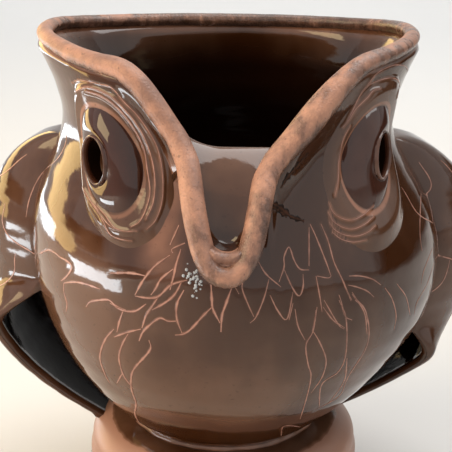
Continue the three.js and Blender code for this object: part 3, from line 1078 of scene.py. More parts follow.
@dataclass
class Body:
    """The thrown belly, neck and oval rim, with the marks of the potter's hands."""

    columns: int = 440
    belly_rows: int = 70
    neck_rows: int = 70
    inner_rows: int = 62
    crowding: float = 25.0
    ridge: float = 0.045
    ridge_pitch: float = 8.3
    swell: float = 0.24
    lump_size: float = 31.0
    smoothed: float = 9.0
    seat_drop: float = 1.9
    shoulder_round: float = 3.2
    tuck: float = 1.5
    fold_height: float = 16.0
    cut_depth: float = 12.0
    cut_span: Span = (8.0, 14.0)
    thin: Patch = Patch(0.62, -19.0, 8.0, (140.0, 152.0), (98.0, 116.0))
    # painted light: rust-toned lightening of the left belly, on the lamps' side
    rust_and_light: Patch = Patch(0.22, -52.0, 18.0, (92.0, 108.0), (62.0, 78.0))
    # painted light: paler glaze on the left belly, on the lamps' side
    milky_and_lit: Patch = Patch(0.9, -50.0, 24.0, (100.0, 125.0))

    def angles(self) -> np.ndarray:
        """Angles round the vessel, closer together at the face."""
        turn = np.linspace(-180, 180, self.columns, endpoint=False)
        return turn - self.crowding * np.sin(np.radians(turn))

    def wall_top(self, angle: np.ndarray) -> np.ndarray:
        """Top of the wall: under the lip, and cut lower where the beak's channel crosses it."""
        return VESSEL.lip_height(angle) - self.seat_drop - self.cut_depth * self.crossing(angle)

    def crossing(self, angle: np.ndarray) -> np.ndarray:
        """Share of the cut under the beak's channel at an angle."""
        return (1 - smoothstep(-angle, *self.cut_span)) * (1 - smoothstep(angle, *self.cut_span))

    def hand_marks(self, points: np.ndarray, strength: float) -> np.ndarray:
        """Throwing ridges and soft lumps.

        Args:
            points: Places on the smooth surface.
            strength: Share of the full depth.

        Returns:
            How far the clay stands out at each.
        """
        turn = np.arctan2(points[..., 0], -points[..., 1])
        coil = np.sin(2 * np.pi * points[..., 2] / self.ridge_pitch + turn + 0.8 * np.sin(2 * turn))
        return strength * (self.ridge * coil + self.swell * lumps(points, self.lump_size, 0.7))

    def skin(self, angle: np.ndarray, z: np.ndarray, off: float, tuck: float, strength: float) -> np.ndarray:
        """One side of the wall.

        Args:
            angle: Degrees from the face.
            z: Heights.
            off: Distance from the vessel's outside.
            tuck: How far the rounding moves it outwards at the wall's top.
            strength: Share of the full depth of the hand marks.

        Returns:
            Places, a row for each row of heights.
        """
        top = self.wall_top(angle)
        near = np.clip(1 - (top - z) / self.shoulder_round, 0, 1)
        fold = VESSEL.fold(angle) * (1 - self.crossing(angle)) * smoothstep(z - top, -self.fold_height, 0)
        points = VESSEL.place(angle, z, fold + off + tuck * (1 - np.sqrt(1 - near**2)))
        marks = self.hand_marks(points, strength) * smoothstep(top - z, 0, self.smoothed)
        return points + VESSEL.normal(angle, z) * marks[..., None]

    def build(self, finish: bpy.types.Material) -> bpy.types.Object:
        """The body as one closed wall.

        Args:
            finish: The glaze.

        Returns:
            The dressed piece.
        """
        angle = self.angles()[None, :]
        low, mid, top = VESSEL.waist_height + 0.15, VESSEL.belly_height, self.wall_top(angle)
        belly = lerp(low, mid, np.linspace(0, 1, self.belly_rows)[:, None]) + 0 * angle
        neck = lerp(mid, top, np.linspace(0, 1, self.neck_rows)[1:, None])
        z = np.vstack([belly, neck])
        share = np.linspace(1, 0, self.inner_rows)[:, None]
        z_in = np.where(share > 0.5, lerp(mid, top, share * 2 - 1), lerp(low, mid, share * 2))
        outer = self.skin(angle, z, 0.0, -self.tuck, 1.0)
        points = np.concatenate([outer, self.skin(angle, z_in, -VESSEL.wall, self.tuck, 2.0)])
        faces = grid_faces(len(points), self.columns, True, True)
        # painted light: the left-belly patch adds to the rim's rust and the thin patch
        edge = 0.55 * smoothstep(z - top, -3.5, -0.4) + self.thin.at(angle, z) + self.rust_and_light.at(angle, z)
        rust = np.concatenate([edge, 0.5 * smoothstep(z_in - top, -6, -0.5)])
        rust += 0.5 * (1 - smoothstep(np.vstack([z, z_in]), 37.5, 41))
        # painted shade: the inner wall darkens to near black deeper inside
        inside = np.concatenate([0 * z, 0.92 * smoothstep(top - z_in, 1.5, 16)])
        marks = {"rust": rust, "inside": inside, "pale": np.concatenate([self.painted_light_and_shade(angle, z), 0 * z_in])}
        return settle(new_piece("body_wall", points, faces, marks), finish, Slot.GLAZE, "body")

    def painted_light_and_shade(self, angle: np.ndarray, z: np.ndarray) -> np.ndarray:
        """Painted light and shade on the glaze: lighter low on the belly as a painted reflection of the floor, darker
        just above the waist as painted shade under the belly, lighter on the left as painted light, and darker on the
        upper breast.

        Args:
            angle: Degrees from the face.
            z: Heights.

        Returns:
            Strength at each, less than nothing where it is darkened.
        """
        low = 0.45 * (1 - smoothstep(z, 55, 100)) - 0.9 * (1 - smoothstep(z, 54, 64)) + self.milky_and_lit.at(angle, z)
        return low - 0.35 * smoothstep(z, 95, 120) * (1 - smoothstep(np.abs(angle), 15, 45))


@dataclass
class Pedestal:
    """The thrown hollow foot and the coil that seals the waist."""

    columns: int = 256
    rounding: float = 1.5
    floor: float = 7.0
    cove: float = 4.0
    wall: float = 5.0
    groove: float = 0.22
    groove_pitch: float = 1.15
    bare_height: float = 3.0
    flat_radius: float = 30.0
    floor_radius: float = 20.0
    coil_radius: float = 1.75
    coil_depth: float = 1.2

    def profile(self) -> tuple[np.ndarray, int]:
        """Section of the foot, from its underside up the outside and down the inside.

        Returns:
            Radius and height, one pair to a row, and the number of rows on the outside.
        """
        top = VESSEL.waist_height - 0.1
        corner, bowl = np.radians(np.linspace(-90, 0, 8)), np.radians(np.linspace(0, 90, 12)[1:])
        edge = [VESSEL.base_radius - self.rounding * (1 - np.cos(corner)), self.rounding * (1 + np.sin(corner))]
        rise = np.linspace(self.rounding, VESSEL.shoulder_height, 46)[1:]
        bend = VESSEL.shoulder_height + (top - VESSEL.shoulder_height) * np.sin(np.linspace(0, np.pi / 2, 30))[1:]
        z = np.concatenate([rise, bend])
        grooves = self.groove * np.sin(z / self.groove_pitch) * smoothstep(z, 2, 6) * (1 - smoothstep(z, 24, 34))
        z_in = np.concatenate([bend[::-1], np.linspace(VESSEL.shoulder_height, self.floor + self.cove, 20)])
        inside = VESSEL.half_width(z_in) - self.wall
        cove = [inside[-1] - self.cove * (1 - np.cos(bowl)), self.floor + self.cove * (1 - np.sin(bowl))]
        start, end = [[self.flat_radius], [0.0]], [[self.floor_radius], [self.floor]]
        rows = [start, edge, [VESSEL.half_width(z) + grooves, z], [inside, z_in], cove, end]
        return np.hstack(rows).T, 1 + len(corner) + len(z)

    def build(self, finish: bpy.types.Material) -> bpy.types.Object:
        """The foot as one closed turned piece.

        Args:
            finish: The glaze.

        Returns:
            The dressed piece.
        """
        ring, outer = self.profile()
        turn = np.radians(np.linspace(0, 360, self.columns, endpoint=False))
        radius, height = ring[:, :1], ring[:, 1:]
        points = np.stack([radius * np.cos(turn), radius * np.sin(turn), height + 0 * turn], axis=-1)
        corners, faces = closed_rings(points)
        level, within = corners[:, 2], np.zeros(len(corners))
        # painted shade: the hollow inside of the foot is darkened to near black
        within[outer * self.columns : -1] = 0.9
        shoulder = 0.7 * smoothstep(level, 18, 27) * (1 - smoothstep(level, 33, 36.5))
        rust = np.where(level < self.bare_height, 1.0, shoulder)
        bare = 0.95 * smoothstep(level, 15, 26) * (1 - smoothstep(level, 34, 36.8))
        marks = {"rust": rust * (1 - within), "inside": within, "pale": 0.25 * (1 - within)}
        marks["bare"] = bare * (1 - within)
        return settle(new_piece("pedestal_foot", corners, faces, marks), finish, Slot.GLAZE, "foot")

    def build_coil(self, sweeper: SweptClay, finish: bpy.types.Material) -> bpy.types.Object:
        """The pressed coil round the waist.

        Args:
            sweeper: The sweeping tree.
            finish: The glaze.

        Returns:
            The dressed piece.
        """
        turn = np.linspace(0, 2 * np.pi, 360, endpoint=False)
        wobble = 0.16 * np.sin(7 * turn + 0.4) + 0.12 * np.sin(17 * turn) + 0.07 * np.sin(31 * turn + 1)
        radius = VESSEL.waist_radius - 0.2
        points = np.stack([radius * np.cos(turn), radius * np.sin(turn), VESSEL.waist_height + wobble], 1)
        out = np.stack([np.cos(turn), np.sin(turn), 0 * turn], 1)
        girth = 1 + 0.09 * np.sin(11 * turn + 1) + 0.06 * np.sin(23 * turn)
        sizes = {"half_width": self.coil_radius, "height": self.coil_radius, "depth": self.coil_depth, "sides": 16}
        piece = sweeper.sweep("waist_seam", [Path(points, out, girth)], finish, closed=True, **sizes)
        for key, value in (("rust", 0.55), ("inside", 0.0), ("pale", 0.2)):
            mark(piece.data, key, np.full(len(piece.data.vertices), value))
        return settle(piece, finish, Slot.GLAZE, "waist_coil")


@dataclass
class Beak:
    """The rolled lip, and the drooping trough and keel that it edges."""

    lip_angles: Span = (-12.0, 11.0)
    tip_height: float = 117.0
    overhang: float = 11.6
    half_width: float = 8.2
    roundness: float = 2.7
    bulge: float = 0.8
    keel_height: float = 105.0
    channel_depth: float = 5.0
    web_rise: float = 2.9
    throat_angles: Span = (-21.0, 18.5)
    throat_height: float = 147.0
    roll_back: float = 2.4
    roll_front: float = 3.2
    roll_tip: float = 3.3
    join: float = 0.16
    end: float = 0.965
    bare_edge: Span = (0.50, 0.58)
    bare_limit: float = 0.93
    rows: int = 140
    columns: int = 64
    path: np.ndarray = field(init=False)
    turns: np.ndarray = field(init=False)
    eases: np.ndarray = field(init=False)

    @property
    def tip_depth(self) -> float:
        """How far forward the tip lies."""
        return float(-VESSEL.half_depth(np.float64(self.tip_height)) - self.overhang)

    def sharp_edge(self, turn: np.ndarray) -> np.ndarray:
        """The lip's middle round the beak, before its bends are eased.

        Args:
            turn: Degrees, from -90 at the left root through 0 at the tip to 90 at the right root.

        Returns:
            Places along the lip.
        """
        left, right = (VESSEL.rim(np.float64(a)) for a in self.lip_angles)
        turn = np.asarray(turn, float)
        share = np.maximum(np.cos(np.radians(turn)), 0) ** (2 / self.roundness)
        side = np.sign(turn) * np.abs(np.sin(np.radians(turn))) ** (2 / self.roundness)
        on_left = turn < 0
        root = np.where(on_left[..., None], left, right)
        x = side * lerp(np.abs(root[..., 0]), self.half_width, share)
        y = lerp(root[..., 1], self.tip_depth, share**self.bulge)
        return np.stack([x, y, lerp(root[..., 2], self.tip_height, share ** (1 / self.bulge))], axis=-1)

    def __post_init__(self) -> None:
        """Lays out the lip's closed middle line, with its bends at the beak's roots eased."""
        turn = np.linspace(-90, 90, 400)
        beak = self.sharp_edge(turn)
        right = VESSEL.rim(np.linspace(self.lip_angles[1], 180, 600)[1:])
        left = VESSEL.rim(np.linspace(-180, self.lip_angles[0], 600)[1:-1])
        raw = spaced(np.vstack([beak, right, left]), 0.7, closed=True)
        light, heavy = self.eased(raw, 16), self.eased(raw, 190)
        self.path = lerp(light, heavy, hump(nearest(raw, beak[[0, -1]])[1], 0, 9)[:, None])
        run = lengths(beak)
        places = np.arange(len(raw)) * np.linalg.norm(raw[1:] - raw[:-1], axis=1).mean()
        count = int((places <= run[-1]).sum())
        self.turns = np.interp(places[:count], run, turn)
        self.eases = (self.path - raw)[:count]

    @staticmethod
    def eased(path: np.ndarray, rounds: int) -> np.ndarray:
        """A closed path with its bends eased by repeated averaging.

        Args:
            path: Places along the path.
            rounds: Number of averagings.

        Returns:
            The eased places.
        """
        for _ in range(rounds):
            path = 0.5 * path + 0.25 * (np.roll(path, 1, axis=0) + np.roll(path, -1, axis=0))
        return path

    def edge(self, turn: np.ndarray) -> np.ndarray:
        """The eased middle of the lip round the beak.

        Args:
            turn: Degrees, from -90 at the left root through 0 at the tip to 90 at the right root.

        Returns:
            Places along the lip.
        """
        ease = [np.interp(turn, self.turns, self.eases[:, k]) for k in range(3)]
        return self.sharp_edge(turn) + np.stack(ease, axis=-1)

    def roll_radius(self, points: np.ndarray) -> np.ndarray:
        """Radius of the lip: thin at the back, thick at the tip and swollen beside the beak.

        Args:
            points: Places on the lip's middle line.

        Returns:
            One radius for each place.
        """
        rim = lerp(self.roll_back, self.roll_front, smoothstep(-points[:, 1], 0, VESSEL.rim_half_depth))
        radius = lerp(rim, self.roll_tip, smoothstep(-points[:, 1], VESSEL.rim_half_depth + 4, -self.tip_depth))
        angle = VESSEL.angle_of(points)
        return radius * (1 + 0.34 * hump(angle, 25, 11) + 0.12 * hump(angle, -25, 12))

    def build_lip(self, sweeper: SweptClay, finish: bpy.types.Material) -> bpy.types.Object:
        """The hand-rolled lip.

        Args:
            sweeper: The sweeping tree.
            finish: The bare clay.

        Returns:
            The dressed piece.
        """
        path = self.path
        along = unit(np.roll(path, -1, axis=0) - np.roll(path, 1, axis=0))
        across = unit(np.cross(along, [0, 0, 1]))
        over = np.cross(across, along)
        run = np.linspace(0, 2 * np.pi, len(path), endpoint=False)
        uneven = 0.35 * np.sin(23 * run + 1.1) + 0.35 * np.sin(41 * run) + 0.3 * np.sin(67 * run + 2)
        radius = self.roll_radius(path)
        girth = radius * (0.985 + 0.015 * uneven)
        path = path - over * (0.08 * (1 + uneven))[:, None]
        sizes = {"half_width": 1.06, "height": 0.86, "depth": 1.0, "sides": 32}
        piece = sweeper.sweep("rolled_lip", [Path(path, over, girth)], finish, closed=True, **sizes)
        points = corner_places(piece)
        near, _ = nearest(points, path)
        lean = np.einsum("ij,ij->i", points - path[near], over[near]) / girth[near]
        low = 1 - smoothstep(lean, -0.85, 0.15)
        back = 0.75 * smoothstep(points[:, 1], -15, 30)
        # painted shade: the tip, which faces down, and the right arm, away from the lamps, are darkened
        tip_and_right_shade = 0.38 * smoothstep(-points[:, 1], 60, 76) + 0.50 * smoothstep(points[:, 0], 4, 14)
        mark(piece.data, "shade", np.clip(low + back + tip_and_right_shade, 0, 1))
        return settle(piece, finish, Slot.LIP, "lip_roll")

    def channel(self, share: np.ndarray, side: np.ndarray) -> np.ndarray:
        """The floor of the channel.

        Args:
            share: How far along the beak, from 0 at the roots to 1 at the tip.
            side: From -1 at the left lip to 1 at the right.

        Returns:
            Places, a row for each share.
        """
        left, right = self.edge(-90 * (1 - share)), self.edge(90 * (1 - share))
        chord = lerp(left, right, ((side + 1) / 2)[..., None])
        sag = self.channel_depth * smoothstep(share, 0.05, 0.38) * (1 - smoothstep(share, 0.38, 0.62))
        sag = (sag - 0.9 * (1 - smoothstep(share, 0.05, 0.30))) * (1 - side**2)
        fill = self.web_rise * smoothstep(share + 0.16 * side**2, 0.40, 0.78) * (1 - side**6)
        ahead = 0.75 * fill * (1 - smoothstep(share, 0.60, 0.90))
        return chord + np.stack([0 * sag, 0.75 * sag - ahead, fill - 0.75 * sag], axis=-1)

    def saddle(self, way: np.ndarray, side: np.ndarray) -> np.ndarray:
        """The smooth throat that rises inside the wall and runs over it into the channel.

        Args:
            way: From 0 deep inside to 1 where the channel takes over.
            side: From -1 at the left lip to 1 at the right.

        Returns:
            Places, a row for each step of the way.
        """
        angle = lerp(*self.throat_angles, (side + 1) / 2)
        low = VESSEL.place(angle, 128.0, -VESSEL.wall + 0.7)
        held = VESSEL.lip_height(np.array(self.throat_angles)) - 2.6
        height = lerp(self.throat_height, np.where(side < 0, held[0], held[1]), np.abs(side) ** 2.2)
        crest = VESSEL.place(angle, height, -0.6 * VESSEL.wall)
        step, join = 0.02, self.join
        end = self.channel(np.full_like(side, join), side)
        ahead = (self.channel(np.full_like(side, join + step), side) - end) / step * join * 0.9
        climb, over = np.array([0, 0, 26.0]), np.array([0, -11.0, 0])
        first = self.curve(np.clip(2 * way, 0, 1)[..., None], low, crest, climb, over)
        second = self.curve(np.clip(2 * way - 1, 0, 1)[..., None], crest, end, over, ahead)
        return np.where(way[..., None] < 0.5, first, second)

    @staticmethod
    def curve(way: np.ndarray, start: np.ndarray, end: np.ndarray, leave: np.ndarray, arrive: np.ndarray) -> np.ndarray:
        """A smooth path between two places.

        Args:
            way: Share of the way, from 0 to 1.
            start: Where the path starts.
            end: Where it ends.
            leave: Its direction at the start, with its strength.
            arrive: Its direction at the end.

        Returns:
            A place for each share of the way.
        """
        first = (2 * way**3 - 3 * way**2 + 1) * start + (way**3 - 2 * way**2 + way) * leave
        return first + (-2 * way**3 + 3 * way**2) * end + (way**3 - way**2) * arrive

    @staticmethod
    def kept_out(points: np.ndarray) -> np.ndarray:
        """Points moved out of the vessel's hollow into the middle of its wall.

        Args:
            points: The points, inside or outside.

        Returns:
            The points, changed where they lay in the hollow.
        """
        x, y, z = points[..., 0], points[..., 1], points[..., 2]
        wide, deep = VESSEL.half_width(z) - VESSEL.wall / 2, VESSEL.half_depth(z) - VESSEL.wall / 2
        share = np.hypot((x - VESSEL.slump(z)) / wide, y / deep)
        push = np.maximum(1 / np.maximum(share, 0.1), 1)
        return np.stack([VESSEL.slump(z) + (x - VESSEL.slump(z)) * push, y * push, z], axis=-1)

    def build_trough(self, finish: bpy.types.Material, lip: bpy.types.Material) -> bpy.types.Object:
        """Throat, channel and keel as one closed piece that runs back into the wall.

        Args:
            finish: The glaze.
            lip: The bare clay of the beak's end.

        Returns:
            The dressed piece.
        """
        root, rows = VESSEL.rim(np.float64(0)), self.rows // 2
        side = np.linspace(-1, 1, self.columns)[None, :]
        way = np.linspace(0, 1, rows, endpoint=False)[:, None]
        share = np.linspace(self.join, self.end, rows)[:, None]
        top = np.concatenate([self.saddle(way, side), self.channel(share, side)])
        share = np.concatenate([way * self.join, share])
        left, right = self.edge(-90 * (1 - share)), self.edge(90 * (1 - share))
        chord = lerp(left, right, ((side + 1) / 2)[..., None])
        tip_y, tip_z = self.tip_depth + 4.0, self.tip_height - 0.5 * self.roll_tip
        keel_y = lerp(root[1], tip_y, share) + 0 * side
        keel_z = lerp(self.keel_height, tip_z, share) + 0 * side
        hang = chord - np.array([0, 0, self.roll_front])
        target = np.stack([hang[..., 0], keel_y, keel_z], axis=-1)
        under = self.kept_out(lerp(hang, target, (1 - np.abs(side) ** 3)[..., None]))
        points = np.concatenate([top, under[:, ::-1]], axis=1)
        level, run = share + 0 * side, np.concatenate([way, 1 + 0 * way])
        bare = smoothstep(level + 0.34 * np.abs(side) ** 2.5 + 0.03 * lumps(top, 5, 1.3), *self.bare_edge)
        # painted shade: darker deep in the channel and a little darker under the keel; lighter towards the throat
        channel_shade = 0.2 + 0.35 * (1 - smoothstep(level, 0.0, 0.2)) - 0.6 * smoothstep(level, 0.28, 0.42)
        marks = {
            "rust": slab_marks(0.25 * smoothstep(np.abs(side), 0.6, 1), 0.1, level),
            # painted shade: the throat darkens to near black inside the vessel
            "inside": slab_marks(0.9 * (1 - smoothstep(run, 0.15, 0.6)), 0, level),
            "bare": slab_marks(bare, 0, level),
            "pale": slab_marks(channel_shade, -0.1, level),
            "shade": slab_marks(0.45 - 0.25 * smoothstep(level, 0.5, 0.8), 0, level),
        }
        piece = new_piece("beak_trough", points, capped_faces(*points.shape[:2]), marks)
        settle(piece, finish, Slot.GLAZE, "beak")
        second_finish(piece, lip, (marks["bare"] > self.bare_limit).ravel())
        return piece


@dataclass
class Eye:
    """A slanting domed eye with a bored pupil, on a pressed collar."""

    side: Side
    angle: float
    slant: float
    shift: float
    height: float = 141.0
    dome_wide: float = 10.5
    dome_long: float = 17.5
    dome_height: float = 6.5
    collar_wide: float = 16.5
    collar_long: float = 26.0
    collar_height: float = 2.2
    pupil_radius: float = 6.0
    burr: float = 1.0
    pupil_shift: float = 3.0
    pupil_tilt: float = 19.0
    pupil_wide: float = 0.96
    pupil_long: float = 1.1
    columns: int = 240

    def beside(self, wide: Values, long: Values, tall: Values) -> np.ndarray:
        """A point beside the eye's middle.

        Args:
            wide: Distance along the short axis.
            long: Distance along the long axis.
            tall: Height off the clay.

        Returns:
            Places, one for each distance.
        """
        wide, long, tall = np.broadcast_arrays(*(np.asarray(v, float) for v in (wide, long, tall)))
        normal = VESSEL.normal(np.float64(self.angle), np.float64(self.height))
        level = unit(np.cross([0, 0, 1], normal))
        rise = np.cross(normal, level)
        turn = math.radians(self.slant)
        flat = VESSEL.place(self.angle, self.height)
        flat = flat + level * (wide * math.cos(turn) - long * math.sin(turn))[..., None]
        flat = flat + rise * (long * math.cos(turn) + wide * math.sin(turn))[..., None]
        return VESSEL.raised(VESSEL.angle_of(flat), flat[..., 2], tall)

    def ring(self, wide: Values, long: Values, tall: Levels, shift: Values = 0.0) -> np.ndarray:
        """Oval rings round the eye, one for each row of sizes.

        Args:
            wide: Half-widths.
            long: Half-lengths.
            tall: Heights, or a function from the distance towards the beak to heights.
            shift: How far each ring lies towards the beak.

        Returns:
            Places, a ring to a row.
        """
        inward = -np.sign(self.angle)
        turn = np.radians(np.linspace(0, 360, self.columns, endpoint=False))[None, :]
        wide, long, shift = (np.reshape(np.asarray(v, float), (-1, 1)) for v in (wide, long, shift))
        x = wide * np.cos(turn) + shift * inward
        level = tall(x * inward) if callable(tall) else np.reshape(np.asarray(tall, float), (-1, 1))
        return self.beside(x, long * np.sin(turn), level)

    def pupil_level(self, inward: np.ndarray) -> np.ndarray:
        """Height of the pupil's tilted rim above the clay."""
        return self.dome_height + (inward + self.pupil_shift) * math.tan(math.radians(self.pupil_tilt))

    def pupil(self, radius: np.ndarray, level: np.ndarray) -> np.ndarray:
        """Oval rings in the plane of the pupil's tilted rim.

        Args:
            radius: Radii of the rings.
            level: Their heights above the rim's plane.

        Returns:
            Places, a ring to a row.
        """
        inward = -np.sign(self.angle)
        centre = self.beside(-self.pupil_shift * inward, 0.0, self.dome_height)
        rise = self.dome_height + math.tan(math.radians(self.pupil_tilt))
        toward = self.beside((1 - self.pupil_shift) * inward, 0.0, rise)
        wide = unit(toward - centre)
        tall = self.beside(-self.pupil_shift * inward, 1.0, self.dome_height) - centre
        tall = unit(tall - wide * float(np.dot(tall, wide)))
        out = np.cross(wide, tall) * inward
        turn = np.radians(np.linspace(0, 360, self.columns, endpoint=False))[:, None]
        ring = wide * inward * np.cos(turn) * self.pupil_wide + tall * np.sin(turn) * self.pupil_long
        return centre + np.reshape(radius, (-1, 1, 1)) * ring + np.reshape(level, (-1, 1, 1)) * out

    def build_dome(self, finish: bpy.types.Material, shade_black: bpy.types.Material) -> bpy.types.Object:
        """The dome with its bored pupil and the burr round it.

        Args:
            finish: The eye's glaze.
            shade_black: Near-black finish that paints shade inside the bored hole.

        Returns:
            The dressed piece.
        """
        outer = self.pupil_radius + self.burr
        share = np.linspace(0, 1, 40)[:, None]
        swell = np.sin(share * np.pi / 2) ** 0.85

        def flank(inward: np.ndarray) -> np.ndarray:
            """Height of the dome's side."""
            return lerp(self.collar_height - 1.2, self.pupil_level(inward) - self.burr, swell)

        wide, long = lerp(self.dome_wide + 0.4, outer, share), lerp(self.dome_long + 0.4, outer, share)
        side = self.ring(wide, long, flank, -self.pupil_shift * share)
        flat_rim = self.pupil(np.full(len(share), outer), np.full(len(share), -self.burr))
        side = lerp(side, flat_rim, (share**3)[..., None])
        lobe = np.radians(np.linspace(0, 180, 14)[1:])
        burr = self.pupil(outer - self.burr * (1 - np.cos(lobe)) / 2, self.burr * (1.1 * np.sin(lobe) - 1))
        bore = np.linspace(0, 1, 14)[1:]
        wall = self.pupil(self.pupil_radius * (1 - 0.1 * bore), lerp(-self.burr, -self.dome_height, bore))
        bowl = np.radians(np.linspace(0, 90, 9)[1:-1])
        end = self.pupil(self.pupil_radius * 0.9 * np.cos(bowl), -self.dome_height - 0.7 * np.sin(bowl))
        base = self.ring(self.dome_wide, self.dome_long, -1.5)
        points = np.concatenate([base, side, burr, wall, end])
        corners, faces = closed_rings(points)
        row = np.repeat(np.arange(len(points)), self.columns)
        rim_row = 1 + len(side)
        rust = 0.4 * ((row >= rim_row - 1) & (row < rim_row + len(burr))) + 0.9 * ((row > 0) & (row < 3))
        rust, hole = np.append(rust, [0, 0]), np.append(row >= rim_row + len(burr) + 1, [True, False])
        # painted shade: the bored hole is darkened and given the near-black finish
        piece = new_piece(f"eye_{self.side.label}", corners, faces, {"rust": rust, "inside": 0.7 * hole})
        settle(piece, finish, Slot.EYE, f"eye_dome_{self.side.label}")
        second_finish(piece, shade_black, hole)
        return piece

    def build_collar(self, finish: bpy.types.Material) -> bpy.types.Object:
        """The pressed collar, smoothed out into the clay round it.

        Args:
            finish: The glaze.

        Returns:
            The dressed piece.
        """
        share = np.linspace(-0.35, 1.45, 70)[:, None]
        fall = smoothstep(share, 0.5, 1.45)
        tall = lerp(self.collar_height, -0.6, fall)
        wide, long = lerp(self.dome_wide, self.collar_wide, share), lerp(self.dome_long, self.collar_long, share)
        top = self.ring(wide, long, tall, self.shift * share)
        top += 0.12 * lumps(top, 9, 1.3)[..., None] * unit(top - top.mean(axis=(0, 1)))
        base = self.ring(wide[[0, -1]], long[[0, -1]], -1.6, self.shift * share[[0, -1]])
        points = np.concatenate([base[:1], top, base[1:]])
        faces = grid_faces(len(points), self.columns, True, True)
        rust = np.zeros(points.shape[:2])
        rust[1:-1] = 0.75 * (1 - smoothstep(np.abs(share - 0.04), 0.03, 0.16))
        marks = {"rust": rust, "inside": 0 * rust, "pale": 0.35 + 0 * rust}
        piece = new_piece(f"collar_{self.side.label}", points, faces, marks)
        return settle(piece, finish, Slot.GLAZE, f"eye_collar_{self.side.label}")


@dataclass
class Wing:
    """A slab that stands off the side as a grip, open in front and behind below its pocket."""

    side: Side
    pocket: float
    tip: float
    top: float = 137.0
    reach: float = 22.0
    reach_height: float = 94.0
    thickness: float = 5.5
    blend: float = 19.0
    front: float = 82.0
    span: float = 66.0
    end_fronts: Span = (86.0, 90.0)
    end_spans: Span = (10.0, 16.0)
    rows: int = 170
    columns: int = 110

    def stand(self, z: np.ndarray) -> np.ndarray:
        """How far the wing's crest stands off the vessel.

        Args:
            z: Heights.

        Returns:
            One distance for each height.
        """
        out = VESSEL.belly_radius + self.reach
        above = np.maximum(1 - ((z - self.reach_height) / (self.top - self.reach_height)) ** 2, 0) ** 0.6
        below = np.maximum(1 - ((self.reach_height - z) / (self.reach_height - self.tip)) ** 2, 0)
        high = lerp(VESSEL.half_width(np.float64(self.top)), out, above)
        low = lerp(VESSEL.half_width(np.float64(self.tip)), out, below)
        return np.maximum(np.where(z > self.reach_height, high, low) - VESSEL.half_width(z), 0)

    def build(self, finish: bpy.types.Material, shade_black: bpy.types.Material) -> bpy.types.Object:
        """The wing as one closed slab with rounded edges.

        Args:
            finish: The glaze.
            shade_black: Near-black finish that paints shade on the side towards the body.

        Returns:
            The dressed piece.
        """
        share = ((1 - np.cos(np.linspace(0, np.pi, self.rows))) / 2)[:, None]
        across = ((1 - np.cos(np.linspace(0, np.pi, self.columns))) / 2)[None, :]
        z = lerp(self.tip, self.top, share)
        belly = np.sin(share * np.pi) ** 0.7
        front = lerp(np.where(share < 0.5, *self.end_fronts), self.front, belly)
        span = lerp(np.where(share < 0.5, *self.end_spans), self.span, belly)
        held = smoothstep(z, self.pocket - self.blend / 2, self.pocket + self.blend / 2)
        to_edge = np.minimum(across, 1 - across)
        fold = 1 - held * (1 - np.minimum(to_edge / 0.35, 1)) ** 2
        lift = self.stand(z) * fold
        crest = lift - 0.7 * np.exp(-lift / 0.9) + 0.3
        reach = np.radians(span) * (VESSEL.half_width(z) + crest) * to_edge
        round_off = np.sqrt(np.clip(1 - (1 - np.clip(reach / (self.thickness / 2), 0, 1)) ** 2, 0, 1))
        free = smoothstep(crest, 2.0, 7.0)
        half = self.thickness / 2 * lerp(1, np.maximum(round_off, 0.02), free)
        middle = crest - self.thickness / 2
        angle = self.side.value * (front + span * across)
        wobble = 0.25 * lumps(VESSEL.place(angle, z, crest), 17, 2.1) * smoothstep(crest, 1, 6)
        wobble += 0.12 * np.sin(z / 1.05) * smoothstep(crest, 1, 6)
        outer = VESSEL.place(angle, z, middle + half + np.minimum(wobble, 0.0) - 0.35)
        inner = VESSEL.place(angle, z, np.maximum(middle - half, -2.4) + 0.5 * wobble)
        points = np.concatenate([outer, inner[:, ::-1]], axis=1)
        edge = (1 - smoothstep(reach, 0.5, 3.6)) * free
        # painted shade: the side towards the body is darkened and given the near-black finish
        marks = {
            "rust": slab_marks(0.15 * edge, 0.1 * edge, edge),
            "inside": slab_marks(0, 0.96 * smoothstep(reach, 1.5, 6), edge),
            "pale": slab_marks(0.1, 0, edge),
        }
        piece = new_piece(f"wing_slab_{self.side.label}", points, capped_faces(*points.shape[:2]), marks)
        settle(piece, finish, Slot.GLAZE, f"wing_{self.side.label}")
        second_finish(piece, shade_black, (marks["inside"] > 0.5).ravel())
        return piece


# Feather lines

LEFT_BREAST = (
    ((179, 225), (170, 245)),
    ((185, 243), (172, 249), (173, 253)),
    ((181, 249), (176, 265), (174, 275), (172, 282), (170, 290)),
    ((170, 255), (156, 265), (147, 275), (141, 284), (135, 295)),
    ((110, 273), (131, 273), (146, 276)),
    ((173, 269), (161, 279), (156, 288), (151, 295)),
    ((135, 296), (149, 298), (159, 296), (171, 285), (187, 280)),
    ((182, 281), (175, 294), (166, 302), (152, 310)),
    ((110, 303), (122, 310), (135, 311), (146, 304)),
    ((159, 296), (151, 308), (146, 316), (142, 328)),
    ((184, 290), (177, 304), (177, 319), (182, 333)),
    ((114, 337), (128, 332), (141, 329)),
    ((139, 341), (143, 332), (151, 324), (160, 318), (168, 321), (177, 321)),
    ((175, 335), (183, 334), (191, 329), (202, 317), (213, 306)),
    ((211, 284), (212, 300), (213, 309), (220, 323)),
    ((232, 287), (226, 304), (222, 316), (221, 332)),
    ((123, 311), (119, 323), (117, 332)),
    ((128, 334), (122, 345), (119, 358), (123, 374), (129, 383), (134, 389)),
    ((122, 374), (117, 383)),
    ((149, 340), (150, 350), (134, 369), (131, 381), (132, 391), (136, 403), (135, 414), (140, 424)),
    ((114, 329), (105, 340), (100, 357), (105, 374), (110, 383)),
    ((39, 254), (48, 250), (55, 253), (60, 257), (67, 261), (72, 267), (67, 276), (61, 281)),
    ((64, 283), (75, 282), (86, 284), (100, 289)),
    ((86, 307), (90, 302), (100, 300), (109, 300), (116, 306), (126, 310)),
    ((64, 283), (64, 292), (67, 303), (66, 312)),
)

